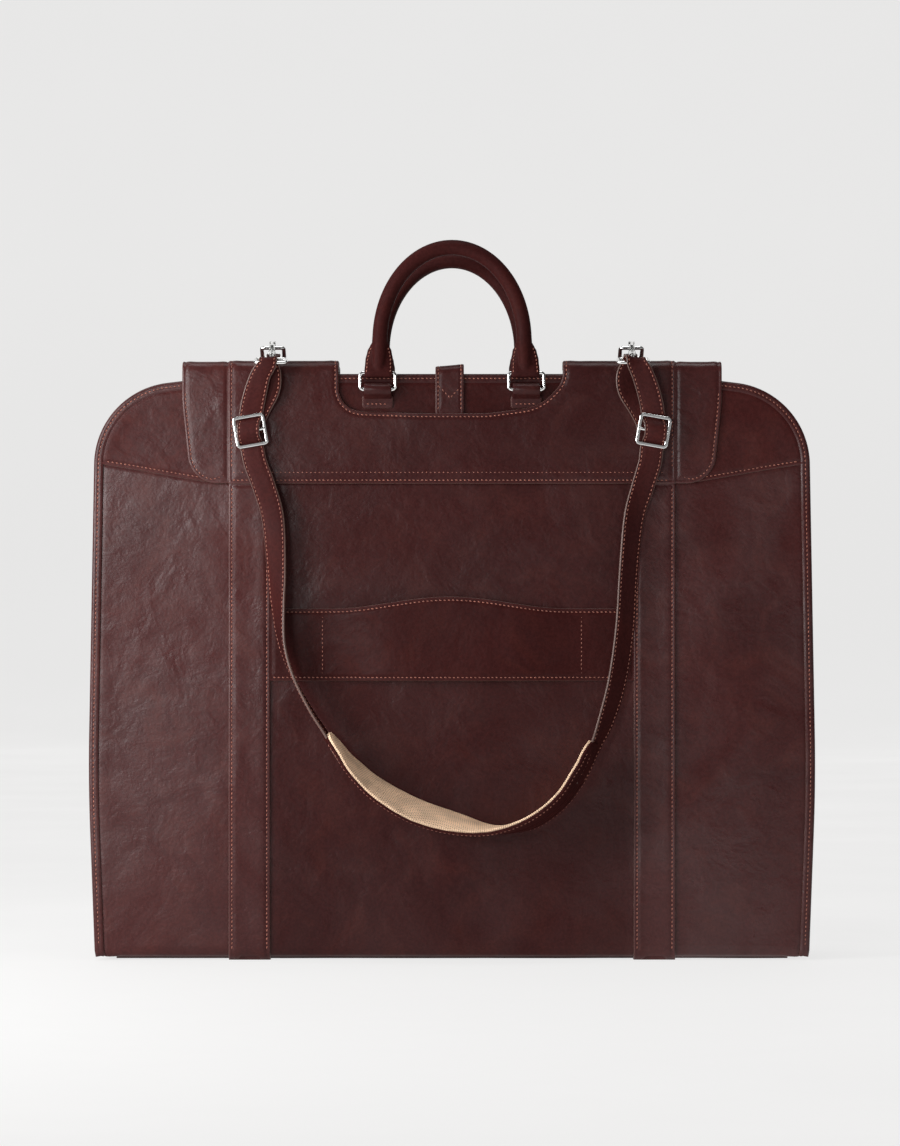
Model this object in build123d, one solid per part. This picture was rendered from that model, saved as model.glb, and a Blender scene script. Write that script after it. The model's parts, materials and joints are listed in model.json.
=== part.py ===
from build123d import *
import os
from math import cos, sin, radians

# A leather garment bag, folded and standing on its base: a front half and a back half, each
# hinged like a book cover to the narrow base panel between them. A saddle sewn to the front
# half carries two flaps that close over the back half. Millimetres, +Z up, front towards -Y,
# origin at the middle of the base, on the floor.

# ---- Driving dimensions -------------------------------------------------------------------
FRONT_Y = -50.0             # outer face of the front panel
INNER_Y = -3.0              # inner rim of the front half; the back half is its mirror image
LEATHER = 2.4               # one layer of panel leather
BOARD = 1.4                 # stiffening board
FABRIC = 0.8                # lining
PANEL_FOOT = 8.0            # lowest edge of both halves
FOLD_Z = 7.0                # height of the two fold lines
TOP_Z = 493.7               # top edge of both halves
FOOT_HALF = 301.0           # half width at the bottom
BODY_HALF = 306.5           # greatest half width, where the two straight parts of a side meet
BODY_Z = 150.0
SHOULDER_HALF = 300.5       # the corner that the round shoulder cuts off
SHOULDER_Z = 479.0
BINDING = 8.0               # width of the edge binding
BINDING_PROUD = 1.2         # how far binding and yoke stand in front of the panel
BACK_OF_BINDING = -45.6
WALL_INSET = 1.5            # the side wall sits this far inside the outline
YOKE_SIDE_Z = 418.0         # the yoke seam at the sides
YOKE_MIDDLE_Z = 403.0       # the yoke seam under the saddle
YOKE_MIDDLE_HALF = 206.0

BAND_INNER = 153.0          # the two upright bands
BAND_OUTER = 188.0
SLEEVE_HALF = 109.0         # stitched ends of the raised part of the trolley sleeve
SLEEVE_LOW = 235.0
SLEEVE_HIGH = 295.0
SLEEVE_CROWN = 306.0
SLEEVE_GAP = 5.4            # room behind the sleeve for a trolley handle

SADDLE_HALF = 225.5
SADDLE_SEAM = 188.0         # seam between the saddle's middle and its ears
SADDLE_LOW = 401.0
SADDLE_TOP = 505.0
SADDLE_TOP_THICK = 7.0
SADDLE_Y = -54.0            # front face of the saddle
EAR_Y = -53.2
CUTOUT_TOP_HALF = 97.0
CUTOUT_LOW_HALF = 92.0
CUTOUT_LOW = 460.0
FLAP_HINGE_Y = -2.0
FLAP_GAP = 0.6
FLAP_THICK = 5.0
MAGNET_RADIUS = 8.0
MAGNET_THICK = 2.0
MAGNET_X = 165.0
MAGNET_Y = 26.0
STRIKER_TOP = 495.2

RING_X = 62.5               # middle of each handle ring
RING_Y = -56.0
RING_LOW_Z = 480.0          # middle of its lower bar
RING_HIGH_Z = 494.2
RING_WIRE = 1.6             # radius
RING_WIDTH = 29.5           # between the middles of the side bars
RING_CORNER = 3.0
TAB_WIDTH = 22.6
SLOT_Z = 466.0              # where the handle tabs enter the panel
LOOP_RADIUS = 4.2
RUNNING_CLEARANCE = 0.08
HANDLE_RADIUS = 6.5
CORE_RADIUS = 4.5
HANDLE_HALF = 60.5          # from the middle of the bag to the handle's centre line
HANDLE_TOP = 599.5          # centre line at the top of the arch
HANDLE_SPRING = 521.0       # where the arch starts
HANDLE_END_LOW = 497.0
HANDLE_END_HIGH = 520.0
HANDLE_END_THICK = 7.2

HOOK_X = 152.0              # the D-rings and snap hooks, left and right
D_BAR_Y = -16.0
D_BAR_Z = 509.4
D_WIRE = 1.75
D_WIDTH = 18.6
D_LENGTH = 16.0
D_TAB_WIDTH = 12.4
D_TILT = 29.0               # the ring leans up over the edge of the saddle
STRAP_BAR_Y = -66.0         # bar of the strap ring that the shoulder strap turns round
STRAP_BAR_Z = 502.0
STRAP_BAR_RADIUS = 1.5
STRAP_RING_WIDTH = 25.6
STRAP_RING_LENGTH = 9.0
CLAW_BORE = 2.5
CLAW_RADIUS = 5.6
CLAW_WIDTH = 5.0
BARREL_RADIUS = 3.2
GATE_THICK = 2.2
CHEEK_START = 6.4            # guides of the sliding bolt, from the crown bar

STRAP_WIDTH = 20.0
STRAP_THICK = 2.4
BUCKLE_Y = -64.5
BUCKLE_Z = 445.0
BUCKLE_X = 169.0
BUCKLE_WIDTH = 27.4
BUCKLE_HEIGHT = 27.2
BUCKLE_RIM = 2.9            # width of the flat frame
BUCKLE_DEPTH = 2.2
BUCKLE_CORNER = 3.8
BUCKLE_BAR = 1.5            # radius of the middle bar
BUCKLE_TILT = 10.0          # the buckles' inner sides are the higher ones
PAD_THICK = 5.5
LINING_THICK = 2.2

CENTRE_TAB_X = -2.0
CENTRE_TAB_WIDTH = 24.0
CENTRE_TAB_TOP = 500.6
HOOK_PIN_Z = 476.0
HOOK_PLATE_Y = (-2.6, -0.7)
HANGING_HOOK_Y = (-0.3, 1.9)
HOOK_PIN_RADIUS = 2.0
HOOK_HEAD_RADIUS = 3.6

DIVIDER_Y = -17.0
ZIP_Z = 430.0
ZIP_HALF = 210.0
ZIP_SLOT = 11.0
SLIDER_X = 204.0
PULLER_LENGTH = 26.0
PULLER_Y = DIVIDER_Y + 7.0

CLAMP_PIN_Y = 38.0
CLAMP_PIN_Z = 470.0
CLAMP_PIN_RADIUS = 1.5
CLAMP_HALF = 18.0
GARMENT_STRAP_HEIGHTS = (200.0, 310.0)
GARMENT_STRAP_Y = 30.0

BASE_HALF_DEPTH = 34.0
BASE_HALF_LENGTH = 284.0
SPINE_HALF_LENGTH = 292.0
SPINE_ROLL = 2.6            # radius of the base panel's rolled edges, in the middle of the leather

# ---- Shared shapes ------------------------------------------------------------------------


def outline(inset=0.0):
    """The face of one half: nearly straight sides, round shoulders and a flat top."""
    right = [
        (FOOT_HALF, PANEL_FOOT),
        (BODY_HALF, BODY_Z),
        (SHOULDER_HALF, SHOULDER_Z),
        (225, 488),
        (125, TOP_Z),
    ]
    left = [(-x, z) for x, z in reversed(right)]
    radii = [5, 1500, 70, 60, 60]
    edge = FilletPolyline(*right, *left, radius=radii + radii[::-1], close=True)
    face = make_face(edge)
    return offset(face, amount=-inset) if inset else face


def block(x_range, y_range, z_range):
    """A box between pairs of limits."""
    spans = [high - low for low, high in (x_range, y_range, z_range)]
    middles = [(high + low) / 2 for low, high in (x_range, y_range, z_range)]
    return Pos(*middles) * Box(*spans)


def region(x_range, z_range):
    """A rectangle in the plane of the bag's face."""
    width = x_range[1] - x_range[0]
    height = z_range[1] - z_range[0]
    return Pos((x_range[0] + x_range[1]) / 2, (z_range[0] + z_range[1]) / 2) * Rectangle(width, height)


def plate(sketch, back_y, thickness):
    """A flat sheet of one outline, from back_y towards the front."""
    return extrude(Plane.XZ.offset(-back_y) * sketch, amount=thickness)


def rod(start, end, radius):
    """A round bar between two points."""
    path = Line(start, end)
    return sweep(Plane(origin=path @ 0, z_dir=path % 0) * Circle(radius), path=path)


def cross_rod(middle, half, y, z, radius):
    """A round bar across the bag, half its length to each side of middle."""
    return rod((middle - half, y, z), (middle + half, y, z), radius)


def wire_ring(width, length, radius, corner=RING_CORNER):
    """A rounded rectangle of round wire, centred in the XZ plane."""
    path = (Plane.XZ * RectangleRounded(width, length, corner)).wire()
    return sweep(Plane(origin=path @ 0, z_dir=path % 0) * Circle(radius), path=path)


def both_sides(piece):
    """The piece and its mirror image on the other side of the bag."""
    return [piece, mirror(piece, about=Plane.YZ)]


def ribbon(stations, thickness, shift=0.0):
    """A flat strip through stations of point, width direction and width, with a ruled skin.
    shift moves it along its own thickness."""
    sections = []
    for index, (point, across, width) in enumerate(stations):
        before = Vector(stations[max(index - 1, 0)][0])
        after = Vector(stations[min(index + 1, len(stations) - 1)][0])
        along = (after - before).normalized()
        plane = Plane(origin=point, x_dir=across, z_dir=along)
        sections.append(plane * Pos(0, shift) * Rectangle(width, thickness))
    return loft(sections, ruled=True)


# ---- Halves -------------------------------------------------------------------------------


def binding_outline():
    """The edge binding: a strip along the sides and top that stops at the bottom corners."""
    ring = outline() - outline(BINDING)
    return ring - region((-FOOT_HALF + BINDING, FOOT_HALF - BINDING), (0, 20))


def yoke_region():
    """Everything above the yoke seam, which dips from the sides towards the middle."""
    points = [
        (-BODY_HALF - 5, YOKE_SIDE_Z),
        (-YOKE_MIDDLE_HALF, YOKE_MIDDLE_Z),
        (YOKE_MIDDLE_HALF, YOKE_MIDDLE_Z),
        (BODY_HALF + 5, YOKE_SIDE_Z),
        (BODY_HALF + 5, TOP_Z + 10),
        (-BODY_HALF - 5, TOP_Z + 10),
    ]
    return make_face(Polyline(*points, close=True))


def panel():
    return plate(outline() - binding_outline() - yoke_region(), FRONT_Y + LEATHER, LEATHER)


def yoke():
    sketch = (outline() - binding_outline()) & yoke_region()
    return plate(sketch, FRONT_Y + LEATHER, LEATHER + BINDING_PROUD)


def binding():
    return plate(binding_outline(), BACK_OF_BINDING, BACK_OF_BINDING - FRONT_Y + BINDING_PROUD)


def board():
    return plate(outline(BINDING + 1), FRONT_Y + LEATHER + BOARD, BOARD)


def lining():
    return plate(outline(BINDING + 1), FRONT_Y + LEATHER + BOARD + FABRIC, FABRIC)


def gusset():
    """The wall round the sides and the top; the bottom is open towards the fold."""
    wall = outline(WALL_INSET) - outline(WALL_INSET + LEATHER)
    wall -= region((-FOOT_HALF + BINDING, FOOT_HALF - BINDING), (0, 24))
    return plate(wall, INNER_Y, INNER_Y - BACK_OF_BINDING)


def bands():
    """The two upright bands, from under the saddle to the bottom."""
    heights = (PANEL_FOOT, YOKE_MIDDLE_Z - 2.5)
    strip = block((BAND_INNER, BAND_OUTER), (FRONT_Y - LEATHER, FRONT_Y), heights)
    return Compound(both_sides(strip))


def handle_tabs():
    """Leather tabs that leave the panel through slots and turn round the ring's lower bar."""
    half = TAB_WIDTH / 2
    loop = cross_rod(RING_X, half, RING_Y, RING_LOW_Z, LOOP_RADIUS)
    tongue = block(
        (RING_X - half, RING_X + half),
        (RING_Y + 0.5, FRONT_Y - BINDING_PROUD),
        (SLOT_Z, RING_LOW_Z),
    )
    bore = cross_rod(RING_X, RING_WIDTH, RING_Y, RING_LOW_Z, RING_WIRE + RUNNING_CLEARANCE)
    face = block((0, 100), (FRONT_Y - BINDING_PROUD, FRONT_Y + 5), (SLOT_Z - 6, TOP_Z))
    return Compound(both_sides(loop + tongue - bore - face))


def handle_rings():
    ring = Pos(RING_X, RING_Y, (RING_LOW_Z + RING_HIGH_Z) / 2) * wire_ring(
        RING_WIDTH, RING_HIGH_Z - RING_LOW_Z, RING_WIRE
    )
    return Compound(both_sides(ring))


def handle_path():
    """The handle's centre line: two straight legs and a tall round arch."""
    low = HANDLE_END_LOW + 8
    springs = [(side * HANDLE_HALF, RING_Y, HANDLE_SPRING) for side in (1, -1)]
    feet = [(side * HANDLE_HALF, RING_Y, low) for side in (1, -1)]
    plane = Plane(origin=(0, RING_Y, HANDLE_SPRING), x_dir=(1, 0, 0), z_dir=(0, -1, 0))
    rise = HANDLE_TOP - HANDLE_SPRING
    arch = plane * EllipticalCenterArc((0, 0), HANDLE_HALF, rise, start_angle=0, arc_size=180)
    return Polyline(feet[0], springs[0]) + arch + Polyline(springs[1], feet[1])


def rolled_tube(radius):
    path = handle_path()
    return sweep(Plane(origin=path @ 0, z_dir=path % 0) * Circle(radius), path=path)


def handle():
    """The rolled leather grip with its flat ends looped round the rings' upper bars."""
    grip = rolled_tube(HANDLE_RADIUS)
    half = TAB_WIDTH / 2
    depth = (RING_Y - HANDLE_END_THICK / 2, RING_Y + HANDLE_END_THICK / 2)
    for side in (-1, 1):
        middle = side * (RING_X - 0.5)
        grip += cross_rod(side * RING_X, half, RING_Y, RING_HIGH_Z, LOOP_RADIUS)
        grip += block((middle - half, middle + half), depth, (RING_HIGH_Z, HANDLE_END_HIGH))
    for side in (-1, 1):
        bore = RING_WIRE + RUNNING_CLEARANCE
        grip -= cross_rod(side * RING_X, RING_WIDTH, RING_Y, RING_HIGH_Z, bore)
    return grip - rolled_tube(CORE_RADIUS)


def handle_core():
    """The cord that fills the rolled part of the handle."""
    return rolled_tube(CORE_RADIUS)


# ---- Front half only ----------------------------------------------------------------------


def trolley_sleeve():
    """A band between the upright bands, raised in the middle so a trolley handle goes behind."""
    upper = ThreePointArc((-SLEEVE_HALF, SLEEVE_HIGH), (0, SLEEVE_CROWN), (SLEEVE_HALF, SLEEVE_HIGH))
    lower = Polyline(
        (SLEEVE_HALF, SLEEVE_HIGH),
        (SLEEVE_HALF, SLEEVE_LOW),
        (-SLEEVE_HALF, SLEEVE_LOW),
        (-SLEEVE_HALF, SLEEVE_HIGH),
    )
    middle = make_face(upper + lower)
    inner_y = FRONT_Y - SLEEVE_GAP
    front = plate(middle, inner_y, LEATHER)
    stop = SLEEVE_HALF - LEATHER - 1
    for side in (-1, 1):
        edges = sorted((side * stop, side * SLEEVE_HALF))
        front += block(edges, (inner_y, FRONT_Y), (SLEEVE_LOW, SLEEVE_HIGH))
        ends = sorted((side * stop, side * BAND_INNER))
        front += block(ends, (FRONT_Y - LEATHER, FRONT_Y), (SLEEVE_LOW, SLEEVE_HIGH))
    return front


def cutout():
    """The opening in the saddle that the handles stand in."""
    points = [
        (-CUTOUT_LOW_HALF, CUTOUT_LOW),
        (CUTOUT_LOW_HALF, CUTOUT_LOW),
        (CUTOUT_TOP_HALF, SADDLE_TOP + 5),
        (-CUTOUT_TOP_HALF, SADDLE_TOP + 5),
    ]
    return make_face(FilletPolyline(*points, radius=[26, 26, 0.5, 0.5], close=True))


def saddle_front():
    drop_top = SADDLE_TOP - SADDLE_TOP_THICK
    sketch = region((-SADDLE_SEAM, SADDLE_SEAM), (SADDLE_LOW, drop_top)) - cutout()
    back_y = FRONT_Y - BINDING_PROUD
    return plate(sketch, back_y, back_y - SADDLE_Y)


def saddle_ears():
    drop_top = SADDLE_TOP - SADDLE_TOP_THICK
    ear = region((SADDLE_SEAM, SADDLE_HALF), (SADDLE_LOW, drop_top))
    ear = fillet(ear.vertices().sort_by(Axis.Y)[:2].sort_by(Axis.X)[-1], 26)
    back_y = FRONT_Y - BINDING_PROUD
    return Compound(both_sides(plate(ear, back_y, back_y - EAR_Y)))


def saddle_tops():
    """The padded parts of the saddle that cross the top of the front half."""
    heights = (SADDLE_TOP - SADDLE_TOP_THICK, SADDLE_TOP)
    top = block((CUTOUT_TOP_HALF, SADDLE_HALF), (SADDLE_Y, FLAP_HINGE_Y), heights)
    edge = top.edges().filter_by(Axis.X).group_by(Axis.Y)[0].sort_by(Axis.Z)[-1]
    return Compound(both_sides(fillet(edge, 6)))


def centre_tab():
    """The strap over the top of the front half that carries the hanging hook."""
    outer = [
        (FRONT_Y - BINDING_PROUD - LEATHER, 463),
        (FRONT_Y - BINDING_PROUD - LEATHER, CENTRE_TAB_TOP),
        (-0.4, CENTRE_TAB_TOP),
        (-0.4, 486),
    ]
    path = Plane.YZ * make_face(FilletPolyline(
        *outer,
        (-2.4, 486),
        (-2.4, CENTRE_TAB_TOP - LEATHER),
        (FRONT_Y - BINDING_PROUD, CENTRE_TAB_TOP - LEATHER),
        (FRONT_Y - BINDING_PROUD, 463),
        radius=[0.3, 5, 1.9, 0.3, 0.3, 0.3, 2.6, 0.3],
        close=True,
    ))
    return Pos(CENTRE_TAB_X - CENTRE_TAB_WIDTH / 2, 0, 0) * extrude(path, amount=CENTRE_TAB_WIDTH)


def hook_plate():
    """The steel end of the centre strap with the pin that the hanging hook turns on."""
    tail = block((CENTRE_TAB_X - 9, CENTRE_TAB_X + 9), HOOK_PLATE_Y, (HOOK_PIN_Z - 8, 486))
    root = (CENTRE_TAB_X, HOOK_PLATE_Y[1], HOOK_PIN_Z)
    neck = (CENTRE_TAB_X, HANGING_HOOK_Y[1] + 0.1, HOOK_PIN_Z)
    tip = (CENTRE_TAB_X, HANGING_HOOK_Y[1] + 0.8, HOOK_PIN_Z)
    return tail + rod(root, tip, HOOK_PIN_RADIUS) + rod(neck, tip, HOOK_HEAD_RADIUS)


def hanging_hook():
    """A flat steel hook that hangs down between the halves and turns up through their gap."""
    shank = [
        (CENTRE_TAB_X, HOOK_PIN_Z),
        (CENTRE_TAB_X, HOOK_PIN_Z - 26),
    ]
    bowl = ThreePointArc(
        (CENTRE_TAB_X, HOOK_PIN_Z - 26),
        (CENTRE_TAB_X - 20, HOOK_PIN_Z - 58),
        (CENTRE_TAB_X + 18, HOOK_PIN_Z - 48),
    )
    line = Polyline(*shank) + bowl
    strip = trace(line, line_width=7)
    eye = Pos(CENTRE_TAB_X, HOOK_PIN_Z) * Circle(7)
    tip = Pos(CENTRE_TAB_X + 18, HOOK_PIN_Z - 48) * Circle(3.5)
    hole = Pos(CENTRE_TAB_X, HOOK_PIN_Z) * Circle(HOOK_PIN_RADIUS + RUNNING_CLEARANCE)
    low, high = HANGING_HOOK_Y
    return plate(strip + eye + tip - hole, high, high - low)


def d_ring_tabs():
    """Leather tabs sewn on the saddle that hold the D-rings' bars."""
    half = D_TAB_WIDTH / 2
    loop = cross_rod(HOOK_X, half, D_BAR_Y, D_BAR_Z, D_BAR_Z - SADDLE_TOP)
    edges = (HOOK_X - half, HOOK_X + half)
    tongue = block(edges, (D_BAR_Y, FLAP_HINGE_Y - 1.5), (SADDLE_TOP, SADDLE_TOP + LEATHER))
    bore = cross_rod(HOOK_X, D_WIDTH, D_BAR_Y, D_BAR_Z, D_WIRE + RUNNING_CLEARANCE)
    return Compound(both_sides(loop + tongue - bore))


def crown_point():
    """The middle of the D-ring's crown bar, in the plane of Y and Z."""
    return (
        D_BAR_Y - D_LENGTH * cos(radians(D_TILT)),
        D_BAR_Z + D_LENGTH * sin(radians(D_TILT)),
    )


def d_rings():
    ring = wire_ring(D_WIDTH, D_LENGTH, D_WIRE, corner=2.6)
    ring = Pos(HOOK_X, D_BAR_Y, D_BAR_Z) * Rot(90 - D_TILT, 0, 0) * Pos(0, 0, D_LENGTH / 2) * ring
    return Compound(both_sides(ring))


def hook_frame():
    """A plane at the crown bar: its x runs along the hook towards the strap ring, its y is up
    out of the hook and its z is across the bag."""
    crown_y, crown_z = crown_point()
    along = Vector(0, STRAP_BAR_Y - crown_y, STRAP_BAR_Z - crown_z).normalized()
    return Plane(origin=(HOOK_X, crown_y, crown_z), x_dir=along, z_dir=(-1, 0, 0))


def hook_length():
    crown_y, crown_z = crown_point()
    return Vector(0, STRAP_BAR_Y - crown_y, STRAP_BAR_Z - crown_z).length


def snap_hook():
    """The claw round the D-ring, open above, with guides for its bolt and a barrel behind."""
    claw = Circle(CLAW_RADIUS) - Circle(CLAW_BORE)
    claw -= Pos(CLAW_RADIUS / 2 + 0.4, CLAW_RADIUS / 2 + 0.4) * Rectangle(CLAW_RADIUS, CLAW_RADIUS)
    shank = Pos(9, -3.6) * Rectangle(14, 3.2)
    body = extrude(claw + shank, amount=CLAW_WIDTH / 2, both=True)
    barrel = Plane.YZ.offset(15) * Circle(BARREL_RADIUS)
    body += extrude(barrel, amount=8)
    body -= extrude(Plane.YZ.offset(16.2) * Circle(1.5), amount=8)
    cheek = Pos(CHEEK_START + 3.6, 1.2) * Rectangle(7.2, 8.4)
    cheeks = extrude(cheek, amount=CLAW_WIDTH / 2, both=True)
    cheeks -= extrude(cheek, amount=GATE_THICK / 2 + 0.3, both=True)
    return body + cheeks


def snap_gate():
    """The sliding bolt that closes the claw, with its thumb piece."""
    bolt = make_face(Polyline(
        (0.9, 3.0),
        (8.6, 3.0),
        (8.6, 5.2),
        (8.0, 5.2),
        (7.4, 8.2),
        (6.0, 7.8),
        (6.2, 5.2),
        (0.9, 5.2),
        close=True,
    ))
    return extrude(bolt, amount=GATE_THICK / 2, both=True)


def swivel_ring():
    """The strap ring and the post that turns in the hook's barrel."""
    length = hook_length()
    ring = wire_ring(STRAP_RING_WIDTH, STRAP_RING_LENGTH, STRAP_BAR_RADIUS, corner=2.2)
    ring = Pos(length - STRAP_RING_LENGTH / 2, 0, 0) * Rot(0, 90, 0) * ring
    post = extrude(Plane.YZ.offset(17) * Circle(1.42), amount=length - STRAP_RING_LENGTH - 17 + 0.4)
    collar = extrude(Plane.YZ.offset(23.3) * Circle(2.4), amount=1.4)
    return ring + post + collar


def on_hook(piece):
    """Place a piece made at the crown bar on both hooks."""
    return both_sides(hook_frame().location * piece)


# ---- Shoulder strap -----------------------------------------------------------------------


STRAP_BEND = STRAP_BAR_RADIUS + RUNNING_CLEARANCE + STRAP_THICK / 2
STRAP_BEHIND = BUCKLE_Y + BUCKLE_BAR + STRAP_THICK / 2 + 0.5
STRAP_OVER = BUCKLE_Y - BUCKLE_BAR - STRAP_THICK / 2 - 0.5


def strap_loop():
    """The strap's turn round the ring's bar, with two short legs down from it."""
    leg_z = STRAP_BAR_Z - 6
    legs = [(STRAP_BAR_Y + step, leg_z) for step in (STRAP_BEND, -STRAP_BEND)]
    tops = [(STRAP_BAR_Y + step, STRAP_BAR_Z) for step in (STRAP_BEND, -STRAP_BEND)]
    turn = ThreePointArc(tops[0], (STRAP_BAR_Y, STRAP_BAR_Z + STRAP_BEND), tops[1])
    line = Line(legs[0], tops[0]) + turn + Line(tops[1], legs[1])
    band = Plane.YZ * trace(line, line_width=STRAP_THICK)
    return extrude(band, amount=STRAP_WIDTH / 2, both=True)


def strap_strip(side, rows):
    """A length of strap. Each row is x, y, z and the turn of its width, from across the bag
    at 0 towards the front at 90."""
    stations = []
    for x, y, z, turn in rows:
        across = (-side * cos(radians(turn)), -sin(radians(turn)), 0)
        stations.append(((side * x, y, z), across, STRAP_WIDTH))
    return ribbon(stations, STRAP_THICK)


def strap(side, leg_rows):
    """From behind the buckle, up and round the ring's bar, down through the buckle and on."""
    start_z = STRAP_BAR_Z - 5
    half = (BUCKLE_HEIGHT - BUCKLE_RIM) / 2
    slope = sin(radians(BUCKLE_TILT))
    front = [
        (BUCKLE_Z + half + 2.5, STRAP_BEHIND),
        (BUCKLE_Z + half - 1.5, STRAP_BEHIND),
        (BUCKLE_Z + 3.4, STRAP_OVER),
        (BUCKLE_Z - 3.4, STRAP_OVER),
        (BUCKLE_Z - half + 1.5, STRAP_BEHIND),
        (BUCKLE_Z - half - 2.0, STRAP_BEHIND),
    ]
    rows = [
        (HOOK_X, STRAP_BAR_Y - STRAP_BEND, start_z, 0),
        (HOOK_X + 11, STRAP_BAR_Y - STRAP_BEND + 1.4, BUCKLE_Z + half + 17, 0),
    ]
    rows += [(BUCKLE_X + slope * (z - BUCKLE_Z), y, z, 0) for z, y in front]
    behind_rows = [
        (HOOK_X, STRAP_BAR_Y + STRAP_BEND, start_z, 0),
        (BUCKLE_X - 8, -60.2, BUCKLE_Z + half + 10, 0),
        (BUCKLE_X, -58.6, BUCKLE_Z, 0),
    ]
    loop = Pos(side * HOOK_X, 0, 0) * strap_loop()
    return loop + strap_strip(side, rows + leg_rows) + strap_strip(side, behind_rows)


LEFT_LEG = [
    (166.5, -61.2, 420, 0),
    (158.5, -60.5, 400, 6),
    (149.8, -60.4, 372, 16),
    (147.2, -62, 328, 38),
    (145.8, -64.5, 298, 55),
    (143, -67.5, 268, 72),
    (134, -70, 240, 86),
    (118, -73, 213, 96),
    (98, -76, 182, 104),
]
RIGHT_LEG = [
    (167.0, -61.2, 420, 4),
    (160.5, -60.5, 400, 14),
    (152.6, -61.2, 372, 28),
    (148, -62, 328, 36),
    (145, -63.5, 280, 34),
    (138.5, -67, 236, 36),
    (129, -71, 203, 42),
    (117, -75, 178, 52),
]
# x, y, z, how far the front edge drops (degrees), and width
PAD_ROWS = [
    (-97, -76, 181, 14, 26),
    (-84, -77, 164, 17, 42),
    (-62, -79, 144, 20, 47),
    (-30, -80, 126, 21, 47),
    (5, -80, 115.5, 15, 47),
    (36, -80, 111, 0, 47),
    (66, -79.5, 117, -14, 47),
    (90, -78, 134, -22, 44),
    (106, -77, 156, -36, 38),
    (114, -76, 173, -44, 26),
]


def pad_layer(thickness, shift):
    stations = []
    for x, y, z, drop, width in PAD_ROWS:
        across = (0, -cos(radians(drop)), -sin(radians(drop)))
        stations.append(((x, y, z), across, width))
    return ribbon(stations, thickness, shift)


def slider_buckles():
    """Flat rectangular frames with a round middle bar that the strap passes over."""
    inner = BUCKLE_RIM * 2
    rim = RectangleRounded(BUCKLE_WIDTH, BUCKLE_HEIGHT, BUCKLE_CORNER)
    rim -= RectangleRounded(BUCKLE_WIDTH - inner, BUCKLE_HEIGHT - inner, BUCKLE_CORNER - BUCKLE_RIM)
    frame = plate(rim, BUCKLE_DEPTH / 2, BUCKLE_DEPTH)
    frame = fillet(frame.faces().filter_by(Axis.Y).edges(), 0.7)
    frame += cross_rod(0, (BUCKLE_WIDTH - BUCKLE_RIM) / 2, 0, 0, BUCKLE_BAR)
    return Compound(both_sides(Pos(BUCKLE_X, BUCKLE_Y, BUCKLE_Z) * Rot(0, BUCKLE_TILT, 0) * frame))


# ---- Inside -------------------------------------------------------------------------------


def pocket_divider():
    """The fabric wall of the front half's inner pocket, with a floor and a slot for the zip."""
    sheet = outline(WALL_INSET + LEATHER + 0.4) - region((-400, 400), (0, 26))
    sheet -= region((-ZIP_HALF, ZIP_HALF), (ZIP_Z - ZIP_SLOT / 2, ZIP_Z + ZIP_SLOT / 2))
    wall = plate(sheet, DIVIDER_Y + 1.0, 1.0)
    floor = block((-280, 280), (FRONT_Y + LEATHER + BOARD + FABRIC, DIVIDER_Y + 1), (26, 27))
    return wall + floor


def pocket_zip():
    """Two tapes with their meshed teeth across the slot."""
    ends = (-ZIP_HALF - 6, ZIP_HALF + 6)
    tape = block(ends, (DIVIDER_Y + 1.0, DIVIDER_Y + 1.6), (ZIP_Z - 13, ZIP_Z + 13))
    depth = (DIVIDER_Y + 1.6, DIVIDER_Y + 3.0)
    return tape + block((-ZIP_HALF, ZIP_HALF), depth, (ZIP_Z - 2.6, ZIP_Z + 2.6))


def zip_slider():
    """The slider's front shell over the teeth, with a bail for the puller, and its back plate."""
    low_y = DIVIDER_Y + 1.9
    high_y = DIVIDER_Y + 5.0
    wide = (SLIDER_X - 6, SLIDER_X + 6)
    narrow = (SLIDER_X - 2.2, SLIDER_X + 2.2)
    shell = block(wide, (low_y, high_y), (ZIP_Z - 5, ZIP_Z + 5))
    shell -= block((SLIDER_X - 10, SLIDER_X + 10), (low_y - 1, high_y - 1.6), (ZIP_Z - 3, ZIP_Z + 3))
    post = block(narrow, (high_y, high_y + 3.4), (ZIP_Z - 3.4, ZIP_Z - 2.0))
    bail = post + mirror(post, about=Plane.XY.offset(ZIP_Z))
    pin = rod((SLIDER_X, PULLER_Y, ZIP_Z - 2.2), (SLIDER_X, PULLER_Y, ZIP_Z + 2.2), 0.7)
    back = block(wide, (DIVIDER_Y - 0.6, DIVIDER_Y + 0.7), (ZIP_Z - 4.6, ZIP_Z + 4.6))
    return Compound([shell + bail + pin, back])


def zip_puller():
    """A flat pull that hangs on the slider's pin and lies along the zip."""
    y = PULLER_Y
    tip = SLIDER_X - PULLER_LENGTH
    depth = (y - 0.9, y + 0.9)
    body = block((tip, SLIDER_X + 1.6), depth, (ZIP_Z - 1.6, ZIP_Z + 1.6))
    body += block((tip, SLIDER_X - 8), depth, (ZIP_Z - 4, ZIP_Z + 4))
    body += rod((SLIDER_X, y, ZIP_Z - 1.6), (SLIDER_X, y, ZIP_Z + 1.6), 1.6)
    return body - rod((SLIDER_X, y, ZIP_Z - 6), (SLIDER_X, y, ZIP_Z + 6), 0.7 + RUNNING_CLEARANCE)


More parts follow.
